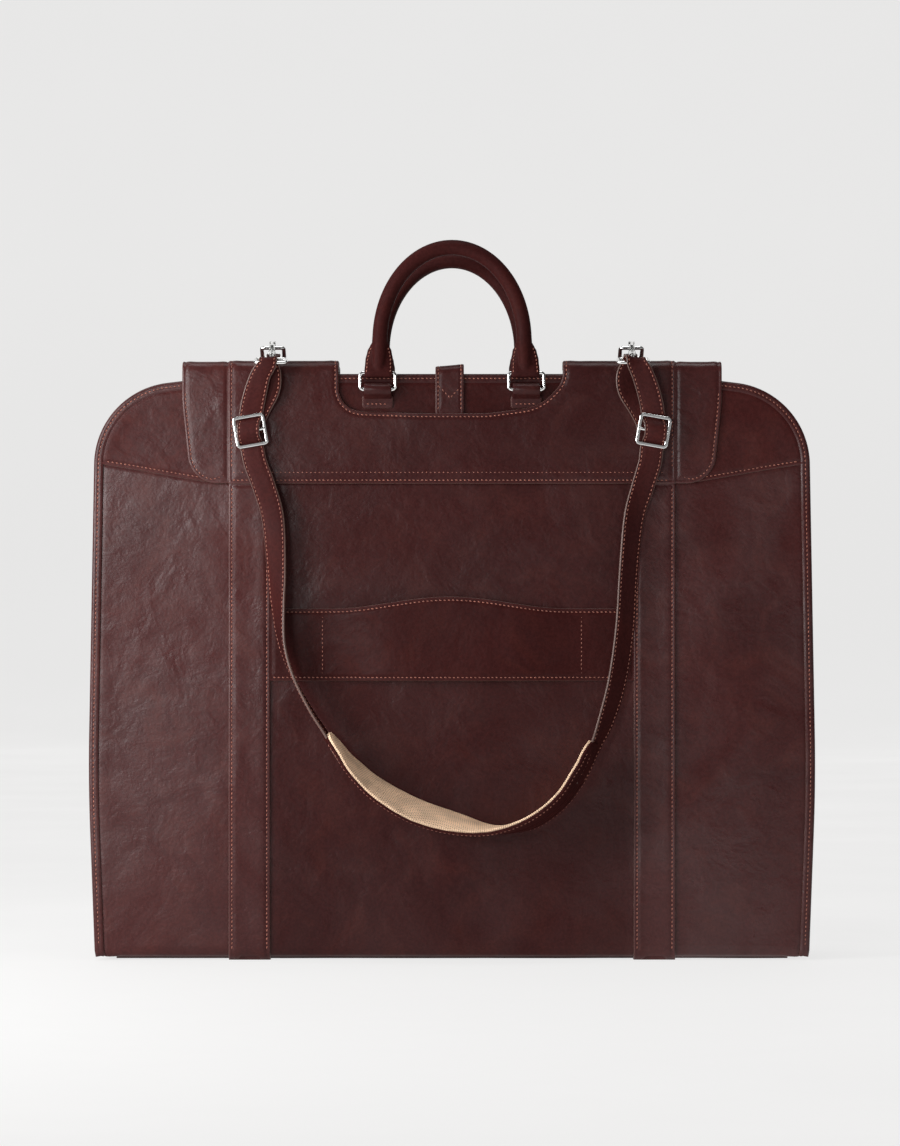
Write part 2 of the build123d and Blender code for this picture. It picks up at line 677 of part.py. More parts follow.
def hanger_bracket():
    """A steel plate on the back board, with two ears and a lip for coat hanger hooks."""
    wall_y = -(FRONT_Y + LEATHER + BOARD + FABRIC)
    back = block((-28, 28), (wall_y - 1.6, wall_y), (CLAMP_PIN_Z - 22, CLAMP_PIN_Z + 10))
    sides = (CLAMP_HALF + 0.4, CLAMP_HALF + 2.0)
    ear = block(sides, (CLAMP_PIN_Y - 4, wall_y - 1.6), (CLAMP_PIN_Z - 4, CLAMP_PIN_Z + 4))
    lip = block((-24, 24), (wall_y - 5, wall_y), (CLAMP_PIN_Z - 26, CLAMP_PIN_Z - 22))
    bracket = back + lip + ear + mirror(ear, about=Plane.YZ)
    return bracket - cross_rod(0, CLAMP_HALF + 22, CLAMP_PIN_Y, CLAMP_PIN_Z, CLAMP_PIN_RADIUS)


def clamp_pin():
    return cross_rod(0, CLAMP_HALF + 3, CLAMP_PIN_Y, CLAMP_PIN_Z, CLAMP_PIN_RADIUS)


def hanger_clamp():
    """The lever that presses hanger hooks against the bracket."""
    across = (-CLAMP_HALF, CLAMP_HALF)
    low = CLAMP_PIN_Z - 30
    lever = block(across, (CLAMP_PIN_Y - 1.2, CLAMP_PIN_Y + 1.2), (low, CLAMP_PIN_Z))
    lever += cross_rod(0, CLAMP_HALF, CLAMP_PIN_Y, CLAMP_PIN_Z, 3.2)
    lever += block(across, (CLAMP_PIN_Y - 5, CLAMP_PIN_Y + 1.2), (low - 2, low))
    bore = CLAMP_PIN_RADIUS + RUNNING_CLEARANCE
    return lever - cross_rod(0, CLAMP_HALF + 22, CLAMP_PIN_Y, CLAMP_PIN_Z, bore)


def garment_straps():
    """Webbing across the back half that holds the clothes down."""
    straps = []
    for height in GARMENT_STRAP_HEIGHTS:
        half = outline_half_width(height) - WALL_INSET - LEATHER - 0.3
        depth = (GARMENT_STRAP_Y, GARMENT_STRAP_Y + 1.4)
        straps.append(block((-half, half), depth, (height - 15, height + 15)))
    return Compound(straps)


def outline_half_width(height):
    """Half the bag's width at a height between the widest line and the shoulder."""
    share = (height - BODY_Z) / (SHOULDER_Z - BODY_Z)
    return BODY_HALF + (SHOULDER_HALF - BODY_HALF) * share - 0.2


def strikers():
    """Steel discs on the top wall of the back half that the flaps' magnets rest over."""
    disc = rod((MAGNET_X, MAGNET_Y, 478), (MAGNET_X, MAGNET_Y, STRIKER_TOP), MAGNET_RADIUS)
    return Compound(both_sides(disc))


# ---- Base and flaps -----------------------------------------------------------------------


def spine_panel():
    """The outer leather of the base: a trough whose edges rise to the fold lines."""
    low = LEATHER * 1.5
    high = FOLD_Z - 0.3
    half = -FRONT_Y - LEATHER / 2
    path = FilletPolyline((-half, high), (-half, low), (half, low), (half, high), radius=SPINE_ROLL)
    section = Plane.YZ * trace(path, line_width=LEATHER)
    return extrude(section, amount=SPINE_HALF_LENGTH, both=True)


def base_panel():
    """The bottom panel that the bag stands on, with the upright bands turned under it."""
    length = (-BASE_HALF_LENGTH, BASE_HALF_LENGTH)
    return block(length, (-BASE_HALF_DEPTH, BASE_HALF_DEPTH), (0, LEATHER))


def spine_bands():
    """Short lengths of the upright bands that turn under the base panel's edges."""
    strip = block((BAND_INNER, BAND_OUTER), (FRONT_Y + 2, -BASE_HALF_DEPTH - 0.2), (0, LEATHER))
    pieces = both_sides(strip)
    return Compound(pieces + [mirror(piece, about=Plane.XZ) for piece in pieces])


def flap(side):
    edges = sorted((side * CUTOUT_TOP_HALF, side * SADDLE_HALF))
    piece = block(edges, (FLAP_HINGE_Y + FLAP_GAP, -FRONT_Y), (SADDLE_TOP - FLAP_THICK, SADDLE_TOP))
    corners = piece.edges().filter_by(Axis.Z).group_by(Axis.Y)[-1]
    return fillet(corners, 12)


def flap_magnet(side):
    x = side * MAGNET_X
    low = SADDLE_TOP - FLAP_THICK - MAGNET_THICK
    return rod((x, MAGNET_Y, low), (x, MAGNET_Y, SADDLE_TOP - FLAP_THICK), MAGNET_RADIUS)


# ---- Nodes --------------------------------------------------------------------------------


def rear(piece):
    """The same piece on the back half."""
    return mirror(piece, about=Plane.XZ)


def as_node(shape):
    """The solids of a shape, with none left inside another list."""
    solids = shape.solids()
    return solids[0] if len(solids) == 1 else Compound(solids)


striker_discs = strikers()
nodes = {
    "spine_panel": spine_panel(),
    "base_panel": base_panel(),
    "spine_board": block((-276, 276), (-38, 38), (2 * LEATHER, 2 * LEATHER + BOARD)),
    "spine_bands": spine_bands(),
    "front_panel": panel(),
    "front_yoke": yoke(),
    "front_binding": binding(),
    "front_board": board(),
    "front_lining": lining(),
    "front_gusset": gusset(),
    "front_bands": bands(),
    "trolley_sleeve": trolley_sleeve(),
    "saddle_front": saddle_front(),
    "saddle_ears": saddle_ears(),
    "saddle_tops": saddle_tops(),
    "front_handle_tabs": handle_tabs(),
    "front_handle_rings": handle_rings(),
    "front_handle": handle(),
    "front_handle_core": handle_core(),
    "centre_tab": centre_tab(),
    "hook_plate": hook_plate(),
    "hanging_hook": hanging_hook(),
    "d_ring_tabs": d_ring_tabs(),
    "d_rings": d_rings(),
    "snap_hooks": Compound(on_hook(snap_hook())),
    "hook_swivels": Compound(on_hook(swivel_ring())),
    "right_hook_gate": on_hook(snap_gate())[0],
    "left_hook_gate": on_hook(snap_gate())[1],
    "left_strap": strap(-1, LEFT_LEG),
    "right_strap": strap(1, RIGHT_LEG),
    "slider_buckles": slider_buckles(),
    "shoulder_pad": pad_layer(PAD_THICK, 0),
    "pad_lining": pad_layer(LINING_THICK, -(PAD_THICK + LINING_THICK) / 2),
    "pocket_divider": pocket_divider(),
    "pocket_zip": pocket_zip(),
    "zip_slider": zip_slider(),
    "zip_puller": zip_puller(),
    "back_panel": rear(panel()),
    "back_yoke": rear(yoke()),
    "back_binding": rear(binding()),
    "back_board": rear(board()),
    "back_lining": rear(lining()),
    "back_gusset": rear(gusset()) - striker_discs,
    "back_bands": rear(bands()),
    "back_handle_tabs": rear(handle_tabs()),
    "back_handle_rings": rear(handle_rings()),
    "back_handle": rear(handle()),
    "back_handle_core": rear(handle_core()),
    "flap_strikers": striker_discs,
    "hanger_bracket": hanger_bracket(),
    "clamp_pin": clamp_pin(),
    "hanger_clamp": hanger_clamp(),
    "garment_straps": garment_straps(),
    "right_flap": flap(1),
    "left_flap": flap(-1),
    "right_flap_magnet": flap_magnet(1),
    "left_flap_magnet": flap_magnet(-1),
}

os.makedirs("parts", exist_ok=True)
for name, shape in nodes.items():
    export_step(as_node(shape), f"parts/{name}.step")
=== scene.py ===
import bisect
import json
import math
import random

import bmesh
import bpy
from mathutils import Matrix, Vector, noise
from mathutils.geometry import delaunay_2d_cdt
from mathutils.kdtree import KDTree


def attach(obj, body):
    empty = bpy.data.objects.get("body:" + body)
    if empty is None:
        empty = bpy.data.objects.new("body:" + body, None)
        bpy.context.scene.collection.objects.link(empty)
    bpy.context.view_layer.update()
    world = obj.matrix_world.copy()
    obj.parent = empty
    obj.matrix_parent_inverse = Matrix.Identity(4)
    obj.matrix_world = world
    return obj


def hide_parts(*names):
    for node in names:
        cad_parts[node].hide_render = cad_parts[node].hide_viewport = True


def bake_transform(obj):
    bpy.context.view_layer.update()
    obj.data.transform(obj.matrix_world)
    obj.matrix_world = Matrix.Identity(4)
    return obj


# The looks of a folded leather garment bag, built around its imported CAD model. Lengths are
# millimetres in the CAD's own frame until add_mesh makes them metres. A leather piece is drawn
# as a flat pattern, in x and s, and a place function bends the pattern round the bag. h is the
# height above the outer face of the panel leather.

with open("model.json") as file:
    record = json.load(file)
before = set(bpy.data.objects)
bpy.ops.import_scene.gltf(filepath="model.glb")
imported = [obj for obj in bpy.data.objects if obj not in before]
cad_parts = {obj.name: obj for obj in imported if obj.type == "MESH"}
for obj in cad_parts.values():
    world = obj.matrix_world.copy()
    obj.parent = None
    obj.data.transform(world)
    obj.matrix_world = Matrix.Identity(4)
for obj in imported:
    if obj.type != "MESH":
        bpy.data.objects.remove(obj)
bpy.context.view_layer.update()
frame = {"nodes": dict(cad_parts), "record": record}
NODES = frame["nodes"]
SEED = 7
dice = random.Random(SEED)
MM = 0.001

# ---- Dimensions, as in the CAD -------------------------------------------------------------
FRONT_Y = -50.0
FOOT_RADIUS = 3.2           # the leather turns under the bottom edge
FOOT_LIFT = 2.6             # height of the leather's underside at the base
FOOT_TURN = FOOT_LIFT + FOOT_RADIUS
BASE_EDGE_Y = 34.2
FOOT_HALF = 301.0
TOP_Z = 493.7
LEATHER = 2.4
YOKE_RISE = 1.2
BAND = (153.0, 188.0)
BAND_TOP = 402.5
SLEEVE_HALF = 109.0
SLEEVE_LOW = 235.0
SLEEVE_HIGH = 296.0
SLEEVE_CROWN = 306.0
SLEEVE_GAP = 5.4
SADDLE_LOW = 401.0
SADDLE_SEAM = 188.0
SADDLE_RISE = 4.0
EAR_RISE = 3.2
HINGE_Y = -1.7
RING_X = 62.5
RING_Y = -56.0
HOOK_X = 152.0
BUCKLE = (169.0, -64.5, 445.0)
STITCH_PITCH = 3.6
STITCH_INSET = 2.8
SIDES = ((-1, "left"), (1, "right"))

# ---- Meshes --------------------------------------------------------------------------------


def add_object(name, data):
    thing = bpy.data.objects.new(name, data)
    bpy.context.scene.collection.objects.link(thing)
    return thing


def add_mesh(name, points, faces, materials, indices=None, wear=None, closed=True):
    """A mesh object from points in millimetres. wear is 0 to 1 for each point."""
    mesh = bpy.data.meshes.new(name)
    mesh.from_pydata([Vector(p) * MM for p in points], [], faces)
    for material in materials:
        mesh.materials.append(material)
    if indices:
        mesh.polygons.foreach_set("material_index", indices)
    mesh.polygons.foreach_set("use_smooth", [True] * len(mesh.polygons))
    attribute = mesh.attributes.new("wear", "FLOAT", "POINT")
    attribute.data.foreach_set("value", wear or [0.0] * len(points))
    if closed:
        work = bmesh.new()
        work.from_mesh(mesh)
        bmesh.ops.recalc_face_normals(work, faces=work.faces)
        work.to_mesh(mesh)
        work.free()
    mesh.update()
    return add_object(name, mesh)


def smooth(value, low=0.0, high=1.0):
    share = min(max((value - low) / (high - low), 0.0), 1.0)
    return share * share * (3 - 2 * share)


def rounded(corners, radii, step=3.0):
    """A closed outline through the corners, each rounded by its own radius."""
    points = []
    count = len(corners)
    for index, radius in enumerate(radii):
        here = Vector(corners[index])
        back = (Vector(corners[index - 1]) - here).normalized()
        ahead = (Vector(corners[(index + 1) % count]) - here).normalized()
        if radius == 0:
            points.append(here)
            continue
        half = back.angle(ahead) / 2
        centre = here + (back + ahead).normalized() * radius / math.sin(half)
        arm = here + back * radius / math.tan(half) - centre
        turn = math.pi - 2 * half
        if back.x * ahead.y - back.y * ahead.x > 0:
            turn = -turn
        pieces = max(2, math.ceil(radius * abs(turn) / step))
        for k in range(pieces + 1):
            angle = turn * k / pieces
            rotated = (
                arm.x * math.cos(angle) - arm.y * math.sin(angle),
                arm.x * math.sin(angle) + arm.y * math.cos(angle),
            )
            points.append(centre + Vector(rotated))
    return points


def resample(points, step, closed=True):
    """The same path with more points on its long runs."""
    out = []
    ends = points[1:] + points[:1] if closed else points[1:]
    for start, end in zip(points, ends):
        pieces = max(1, round((end - start).length / step))
        out += [start.lerp(end, k / pieces) for k in range(pieces)]
    return out if closed else out + [points[-1]]


def inward(points, index, closed=True):
    """The inward normal of an anticlockwise path at one point, longer at a corner."""
    before = points[index - 1] if closed or index else points[0]
    after = points[(index + 1) % len(points)] if closed or index + 1 < len(points) else points[-1]
    here = points[index]
    first = (here - before).normalized() if (here - before).length else (after - here).normalized()
    second = (after - here).normalized() if (after - here).length else first
    normals = [Vector((-run.y, run.x)) for run in (first, second)]
    return (normals[0] + normals[1]) / (1 + max(normals[0].dot(normals[1]), -0.5))


def on_side(side, points):
    """An outline drawn for the right side, or its anticlockwise mirror image for the left."""
    outline = [Vector((side * p.x, p.y)) for p in points]
    return outline if side > 0 else outline[::-1]


def inset(points, distance, closed=True):
    return [here + inward(points, i, closed) * distance for i, here in enumerate(points)]


def value_at(amount, x, s):
    return amount(x, s) if callable(amount) else amount


# How a piece of leather meets its edge: distance from the edge, and height against the face.
EDGE_PROFILE = [
    (0.0, -0.8), (0.25, -0.3), (0.8, 0.0), (1.8, 0.04), (2.8, -0.4), (3.8, 0.12), (6.5, 0.3), (12.0, 0.0),
]
PAINTED_EDGE = 0.5


def sheet(name, outline, place, top, bottom, materials, spacing=7.0, margin=12.0):
    """A piece of leather with rounded edges and a pressed stitch line round it."""
    loop = resample([Vector(p) for p in outline], 3.5)
    count = len(loop)
    points = []
    heights = []
    distances = []
    tree = KDTree(count)
    for k, point in enumerate(loop):
        tree.insert((point.x, point.y, 0), k)
    tree.balance()
    for distance, height in EDGE_PROFILE:
        if distance > margin:
            continue
        for point in inset(loop, distance) if distance else loop:
            if distance < 1 or tree.find((point.x, point.y, 0))[2] > distance * 0.9:
                points.append(point)
                heights.append(height)
                distances.append(distance)
                deepest = distance
    edges = [(k, (k + 1) % count) for k in range(count)]
    low = Vector((min(p.x for p in loop), min(p.y for p in loop)))
    high = Vector((max(p.x for p in loop), max(p.y for p in loop)))
    columns = int((high.x - low.x) / spacing)
    rows = int((high.y - low.y) / spacing)
    for column in range(columns + 1):
        for row in range(rows + 1):
            point = Vector((low.x + (column + 0.5) * spacing, low.y + (row + 0.5) * spacing))
            if tree.find((point.x, point.y, 0))[2] > deepest + spacing * 0.45:
                points.append(point)
                heights.append(0.0)
                distances.append(100.0)
    flat, _, faces, origin, _, inside = delaunay_2d_cdt(points, edges, [list(range(count))], 0, 1e-4, True)
    faces = [face for face, within in zip(faces, inside) if within]
    source = [ids[0] if ids else 0 for ids in origin]
    total = len(flat)
    placed = []
    for k, point in enumerate(flat):
        lift = heights[source[k]] + value_at(top, point.x, point.y)
        placed.append(place(point.x, point.y, lift))
    for point in flat:
        placed.append(place(point.x, point.y, value_at(bottom, point.x, point.y)))
    at = {}
    for k, ids in enumerate(origin):
        for original in ids:
            at[original] = k
    shell = []
    indices = []
    for face in faces:
        corners = [flat[v] for v in face[:3]]
        turn = (corners[1] - corners[0]).cross(corners[2] - corners[0])
        ordered = tuple(face) if turn > 0 else tuple(reversed(face))
        shell.append(ordered)
        indices.append(1 if max(distances[source[v]] for v in face) < PAINTED_EDGE else 0)
        shell.append(tuple(v + total for v in reversed(ordered)))
        indices.append(2)
    for k in range(count):
        a = at[k]
        b = at[(k + 1) % count]
        shell.append((a + total, b + total, b, a))
        indices.append(1)
    wear = [math.exp(-distances[source[k]] / 1.6) for k in range(total)]
    return add_mesh(name, placed, shell, materials, indices, wear + [0.0] * total)


def loft(name, sections, materials, indices=None, closed_ends=True):
    """A skin over sections of equal point counts."""
    size = len(sections[0])
    points = [p for section in sections for p in section]
    faces = []
    picks = []
    for ring in range(len(sections) - 1):
        for k in range(size):
            a = ring * size + k
            b = ring * size + (k + 1) % size
            faces.append((a, b, b + size, a + size))
            picks.append(indices[k] if indices else 0)
    if closed_ends:
        faces.append(tuple(reversed(range(size))))
        faces.append(tuple(range(len(points) - size, len(points))))
        picks += [0, 0]
    return add_mesh(name, points, faces, materials, picks)


def spline(rows, step):
    """Rows of numbers, the first three a point, on one smooth curve through them all."""
    out = []
    last = len(rows) - 1
    for k in range(last):
        p = [rows[max(k - 1, 0)], rows[k], rows[k + 1], rows[min(k + 2, last)]]
        length = (Vector(p[2][:3]) - Vector(p[1][:3])).length
        pieces = max(1, round(length / step))
        for j in range(pieces):
            t = j / pieces
            weights = (
                -0.5 * t + t * t - 0.5 * t ** 3,
                1 - 2.5 * t * t + 1.5 * t ** 3,
                0.5 * t + 2 * t * t - 1.5 * t ** 3,
                -0.5 * t * t + 0.5 * t ** 3,
            )
            out.append(tuple(sum(w * row[n] for w, row in zip(weights, p)) for n in range(len(rows[0]))))
    return out + [tuple(rows[-1])]


# ---- Stitches ------------------------------------------------------------------------------

stitches = {}
# share of the length, radius and lift of each ring of a stitch
STITCH_RINGS = [
    (0.0, 0.16, -0.38), (0.2, 0.44, 0.02), (0.5, 0.52, 0.16), (0.8, 0.44, 0.02), (1.0, 0.16, -0.38),
]
STITCH_SIDES = 6


def add_stitch(group, start, end, up):
    points, faces = stitches.setdefault(group, ([], []))
    along = (end - start).normalized()
    side = along.cross(up).normalized()
    up = side.cross(along)
    start = start - side * 0.16
    end = end + side * 0.16
    first = len(points)
    for share, radius, lift in STITCH_RINGS:
        centre = start.lerp(end, share) + up * lift
        for k in range(STITCH_SIDES):
            angle = 2 * math.pi * k / STITCH_SIDES
            points.append(centre + side * radius * math.cos(angle) + up * radius * math.sin(angle))
    for ring in range(len(STITCH_RINGS) - 1):
        for k in range(STITCH_SIDES):
            a = first + ring * STITCH_SIDES + k
            b = first + ring * STITCH_SIDES + (k + 1) % STITCH_SIDES
            faces.append((a, a + STITCH_SIDES, b + STITCH_SIDES, b))


def stitch_run(group, points, ups, pitch=STITCH_PITCH):
    """Stitches along a line in space, with the surface's normal at each of its points."""
    lengths = [0.0]
    for start, end in zip(points, points[1:]):
        lengths.append(lengths[-1] + (end - start).length)

    def at(distance):
        k = min(max(bisect.bisect_right(lengths, distance) - 1, 0), len(points) - 2)
        share = (distance - lengths[k]) / max(lengths[k + 1] - lengths[k], 1e-6)
        return points[k].lerp(points[k + 1], share), ups[k].lerp(ups[k + 1], share)

    for number in range(int(lengths[-1] / pitch)):
        middle = (number + 0.5) * pitch
        reach = pitch * dice.uniform(0.31, 0.36)
        add_stitch(group, at(middle - reach)[0], at(middle + reach)[0], at(middle)[1])


def stitch_line(group, path, place, height):
    """Stitches along a path on the flat pattern."""
    path = resample([Vector(p) for p in path], 1.5, closed=False)
    points = []
    ups = []
    for spot in path:
        lift = value_at(height, spot.x, spot.y)
        points.append(place(spot.x, spot.y, lift))
        ups.append((place(spot.x, spot.y, lift + 1) - points[-1]).normalized())
    stitch_run(group, points, ups)


def mirror_y(place):
    """The same place on the back half."""
    def placed(x, s, h):
        point = place(x, s, h)
        return Vector((point.x, -point.y, point.z))
    return placed


# ---- Materials -----------------------------------------------------------------------------


def start_material(name):
    """A new material, its node tree, its shader and the object's own coordinates."""
    material = bpy.data.materials.new(name)
    material.use_nodes = True
    tree = material.node_tree
    place = tree.nodes.new("ShaderNodeTexCoord").outputs["Object"]
    return material, tree, tree.nodes["Principled BSDF"], place


def add_node(tree, kind, **settings):
    node = tree.nodes.new(kind)
    for key, value in settings.items():
        if key in node.inputs:
            node.inputs[key].default_value = value
        else:
            setattr(node, key, value)
    return node


def add_noise(tree, coordinates, scale, detail=3.0, distortion=0.0, roughness=0.5):
    node = add_node(
        tree, "ShaderNodeTexNoise", Scale=scale, Detail=detail, Distortion=distortion, Roughness=roughness,
    )
    tree.links.new(coordinates, node.inputs["Vector"])
    return node.outputs["Fac"]


def add_ramp(tree, factor, stops):
    node = tree.nodes.new("ShaderNodeValToRGB")
    elements = node.color_ramp.elements
    while len(elements) < len(stops):
        elements.new(0.5)
    for element, (position, colour) in zip(elements, stops):
        element.position = position
        element.color = (*colour, 1) if len(colour) == 3 else colour
    tree.links.new(factor, node.inputs["Fac"])
    return node.outputs["Color"]


def grey(value):
    return (value, value, value)


def add_mix(tree, factor, first, second, blend="MIX"):
    node = tree.nodes.new("ShaderNodeMix")
    node.data_type = "RGBA"
    node.blend_type = blend
    # a Mix node has number, vector and colour sockets under the same names
    for name, kind, value in (("Factor", "VALUE", factor), ("A", "RGBA", first), ("B", "RGBA", second)):
        socket = [i for i in node.inputs if i.name == name and i.type == kind][0]
        if isinstance(value, bpy.types.NodeSocket):
            tree.links.new(value, socket)
        else:
            socket.default_value = (*value, 1) if isinstance(value, tuple) else value
    return [o for o in node.outputs if o.type == "RGBA"][0]


def add_bump(tree, shader, layers):
    """Bump from several textures, each with its depth in millimetres."""
    normal = None
    for texture, depth in layers:
        node = add_node(tree, "ShaderNodeBump", Strength=1.0, Distance=depth * MM)
        tree.links.new(texture, node.inputs["Height"])
        if normal:
            tree.links.new(normal, node.inputs["Normal"])
        normal = node.outputs["Normal"]
    tree.links.new(normal, shader.inputs["Normal"])


def leather(name, dark, middle, warm, roughness=(0.26, 0.4), specular=(0.16, 0.4), grain=0.03):
    """Smooth dyed leather: cloudy colour, pores, faint creases, worn edges, and painted shade darkening the
    middle of the bag.
    """
    material, tree, shader, place = start_material(name)
    cloud = add_noise(tree, place, 9.0, 5.0, 0.8)
    patches = add_noise(tree, place, 21.0, 4.0, 1.6)
    pores = add_noise(tree, place, 1500.0, 2.0)
    specks = add_noise(tree, place, 420.0, 3.0)
    colour = add_ramp(tree, cloud, [(0.3, dark), (0.7, middle)])
    patch = add_ramp(tree, patches, [(0.5, grey(0)), (0.75, grey(0.5))])
    colour = add_mix(tree, patch, colour, warm)
    speckle = add_ramp(tree, specks, [(0.35, grey(0.86)), (0.65, grey(1.12))])
    colour = add_mix(tree, 1.0, colour, speckle, "MULTIPLY")
    worn = add_node(tree, "ShaderNodeAttribute", attribute_name="wear").outputs["Fac"]
    edge = add_ramp(tree, worn, [(0.1, grey(0)), (1.0, grey(0.55))])
    colour = add_mix(tree, edge, colour, tuple(1.5 * c + 0.012 for c in middle))
    # Painted shade: within about 0.15 m of the bag's middle, on every piece, colour drops to 0.74 of its own
    # and specular to half.
    sides = add_node(tree, "ShaderNodeSeparateXYZ")
    tree.links.new(place, sides.inputs[0])
    aside = add_node(tree, "ShaderNodeMath", operation="ABSOLUTE")
    tree.links.new(sides.outputs["X"], aside.inputs[0])
    painted_centre_shade = add_ramp(tree, aside.outputs[0], [(0.145, grey(0.74)), (0.165, grey(1))])
    colour = add_mix(tree, 1.0, colour, painted_centre_shade, "MULTIPLY")
    tree.links.new(colour, shader.inputs["Base Color"])
    gloss = add_ramp(tree, patches, [(0.3, grey(roughness[0])), (0.7, grey(roughness[1]))])
    tree.links.new(gloss, shader.inputs["Roughness"])
    veil = add_noise(tree, place, 7.0, 4.0, 1.2)
    shine = add_ramp(tree, veil, [(0.35, grey(specular[0])), (0.65, grey(specular[1]))])
    dull = add_ramp(tree, aside.outputs[0], [(0.145, grey(0.5)), (0.165, grey(1))])
    shine = add_mix(tree, 1.0, shine, dull, "MULTIPLY")
    tree.links.new(shine, shader.inputs["Specular IOR Level"])
    crease = add_node(tree, "ShaderNodeTexVoronoi", Scale=85.0, Randomness=1.0, feature="DISTANCE_TO_EDGE")
    bent = add_node(tree, "ShaderNodeVectorMath", operation="MULTIPLY_ADD")
    shake = add_node(tree, "ShaderNodeTexNoise", Scale=55.0, Detail=3.0)
    tree.links.new(place, shake.inputs["Vector"])
    tree.links.new(shake.outputs["Color"], bent.inputs[0])
    bent.inputs[1].default_value = (0.03, 0.03, 0.03)
    tree.links.new(place, bent.inputs[2])
    tree.links.new(bent.outputs[0], crease.inputs["Vector"])
    lines = add_ramp(tree, crease.outputs["Distance"], [(0.0, grey(0)), (0.09, grey(1))])
    wrinkles = add_noise(tree, place, 60.0, 5.0, 0.6)
    dents = add_noise(tree, place, 22.0, 3.0, 0.9)
    add_bump(tree, shader, [(dents, 1.1), (wrinkles, 0.6), (specks, 0.13), (lines, 0.010), (pores, grain)])
    return material


def plain(name, base, roughness, metallic=0.0, scale=300.0, variation=0.15, bump=0.02, coat=0.0):
    """A finish with fine uneven colour, roughness and surface."""
    material, tree, shader, place = start_material(name)
    texture = add_noise(tree, place, scale, 4.0)
    broad = add_noise(tree, place, 25.0, 4.0)
    low = tuple(c * (1 - variation) for c in base)
    high = tuple(min(1.0, c * (1 + variation)) for c in base)
    colour = add_ramp(tree, broad, [(0.3, low), (0.7, high)])
    tree.links.new(colour, shader.inputs["Base Color"])
    gloss = add_ramp(tree, texture, [(0.3, grey(roughness * 0.85)), (0.7, grey(roughness * 1.15))])
    tree.links.new(gloss, shader.inputs["Roughness"])
    shader.inputs["Metallic"].default_value = metallic
    shader.inputs["Coat Weight"].default_value = coat
    add_bump(tree, shader, [(texture, bump)])
    return material


def woven(name, base, second, pitch, bump=0.12):
    """Cloth with a diagonal weave, in object space."""
    material, tree, shader, place = start_material(name)
    waves = []
    for direction in ("X", "Z"):
        scale = 1 / (pitch * MM) / 6.283
        wave = add_node(tree, "ShaderNodeTexWave", Scale=scale, Distortion=0.4, bands_direction=direction)
        tree.links.new(place, wave.inputs["Vector"])
        waves.append(wave.outputs["Fac"])
    weave = add_mix(tree, 0.5, waves[0], waves[1])
    broad = add_noise(tree, place, 30.0, 4.0)
    colour = add_mix(tree, weave, base, second)
    shade = add_ramp(tree, broad, [(0.3, grey(0.8)), (0.7, grey(1.1))])
    colour = add_mix(tree, 1.0, colour, shade, "MULTIPLY")
    tree.links.new(colour, shader.inputs["Base Color"])
    shader.inputs["Roughness"].default_value = 0.85
    shader.inputs["Sheen Weight"].default_value = 0.2
    add_bump(tree, shader, [(weave, bump)])
    return material


def perforated(name, base):
    """Beige lining leather with rows of small round holes, from the pad's own UV in millimetres."""
    material, tree, shader, place = start_material(name)
    uv = add_node(tree, "ShaderNodeUVMap", uv_map="pattern").outputs["UV"]
    cells = add_node(tree, "ShaderNodeTexVoronoi", Scale=1 / HOLE_PITCH, Randomness=0.0)
    cells.voronoi_dimensions = "2D"
    tree.links.new(uv, cells.inputs["Vector"])
    hole = add_ramp(tree, cells.outputs["Distance"], [(0.16, grey(0)), (0.24, grey(1))])
    broad = add_noise(tree, place, 60.0, 4.0)
    fine = add_noise(tree, place, 900.0, 3.0)
    low = tuple(c * 0.78 for c in base)
    high = tuple(c * 1.1 for c in base)
    colour = add_ramp(tree, broad, [(0.3, low), (0.7, high)])
    # Painted shade: each hole is coloured near black-brown for the shade inside its hollow.
    colour = add_mix(tree, hole, (0.09, 0.04, 0.025), colour)
    tree.links.new(colour, shader.inputs["Base Color"])
    shader.inputs["Roughness"].default_value = 0.62
    add_bump(tree, shader, [(hole, 0.3), (fine, 0.05)])
    return material


HOLE_PITCH = 2.5
DARK = (0.041, 0.0102, 0.0098)
MIDDLE = (0.056, 0.0136, 0.0128)
WARM = (0.072, 0.0160, 0.0124)
DEEP = ((0.040, 0.0088, 0.0082), (0.052, 0.0112, 0.0103), (0.066, 0.0130, 0.0100))
body_leather = leather("burgundy_leather", DARK, MIDDLE, WARM)
deep_leather = leather("deep_burgundy_leather", *DEEP, (0.3, 0.44), (0.08, 0.2))
strap_leather = leather("strap_leather", *DEEP, (0.5, 0.6), (0.06, 0.12))
edge_paint = plain("edge_paint", (0.105, 0.058, 0.047), 0.42, scale=500.0, bump=0.04)
flesh = plain("inner_leather", (0.09, 0.040, 0.030), 0.8, scale=700.0, bump=0.12)
thread = plain("thread", (0.27, 0.092, 0.062), 0.55, scale=1800.0, variation=0.3, bump=0.12)
nickel = plain("polished_nickel", (0.88, 0.88, 0.87), 0.12, 1.0, scale=140.0, variation=0.03, bump=0.004)
zinc = plain("zinc_steel", (0.55, 0.55, 0.54), 0.28, 1.0, scale=400.0, variation=0.08, bump=0.01)
lining_cloth = woven("lining_fabric", (0.040, 0.018, 0.016), (0.075, 0.034, 0.030), 0.9)
webbing = woven("webbing", (0.020, 0.014, 0.014), (0.045, 0.030, 0.030), 1.6, 0.25)
board = plain("board", (0.03, 0.026, 0.025), 0.75, scale=900.0, bump=0.05)
piping = woven("cord", (0.42, 0.37, 0.28), (0.55, 0.49, 0.40), 1.2)
# The beige is the lining's own colour made lighter than it is, as painted light from above on the pad's
# lining.
beige = perforated("lining_leather", (0.95, 0.66, 0.44))
LEATHERS = [body_leather, edge_paint, flesh]
DEEP_LEATHERS = [deep_leather, edge_paint, flesh]
STRAPS = [strap_leather, edge_paint, flesh]

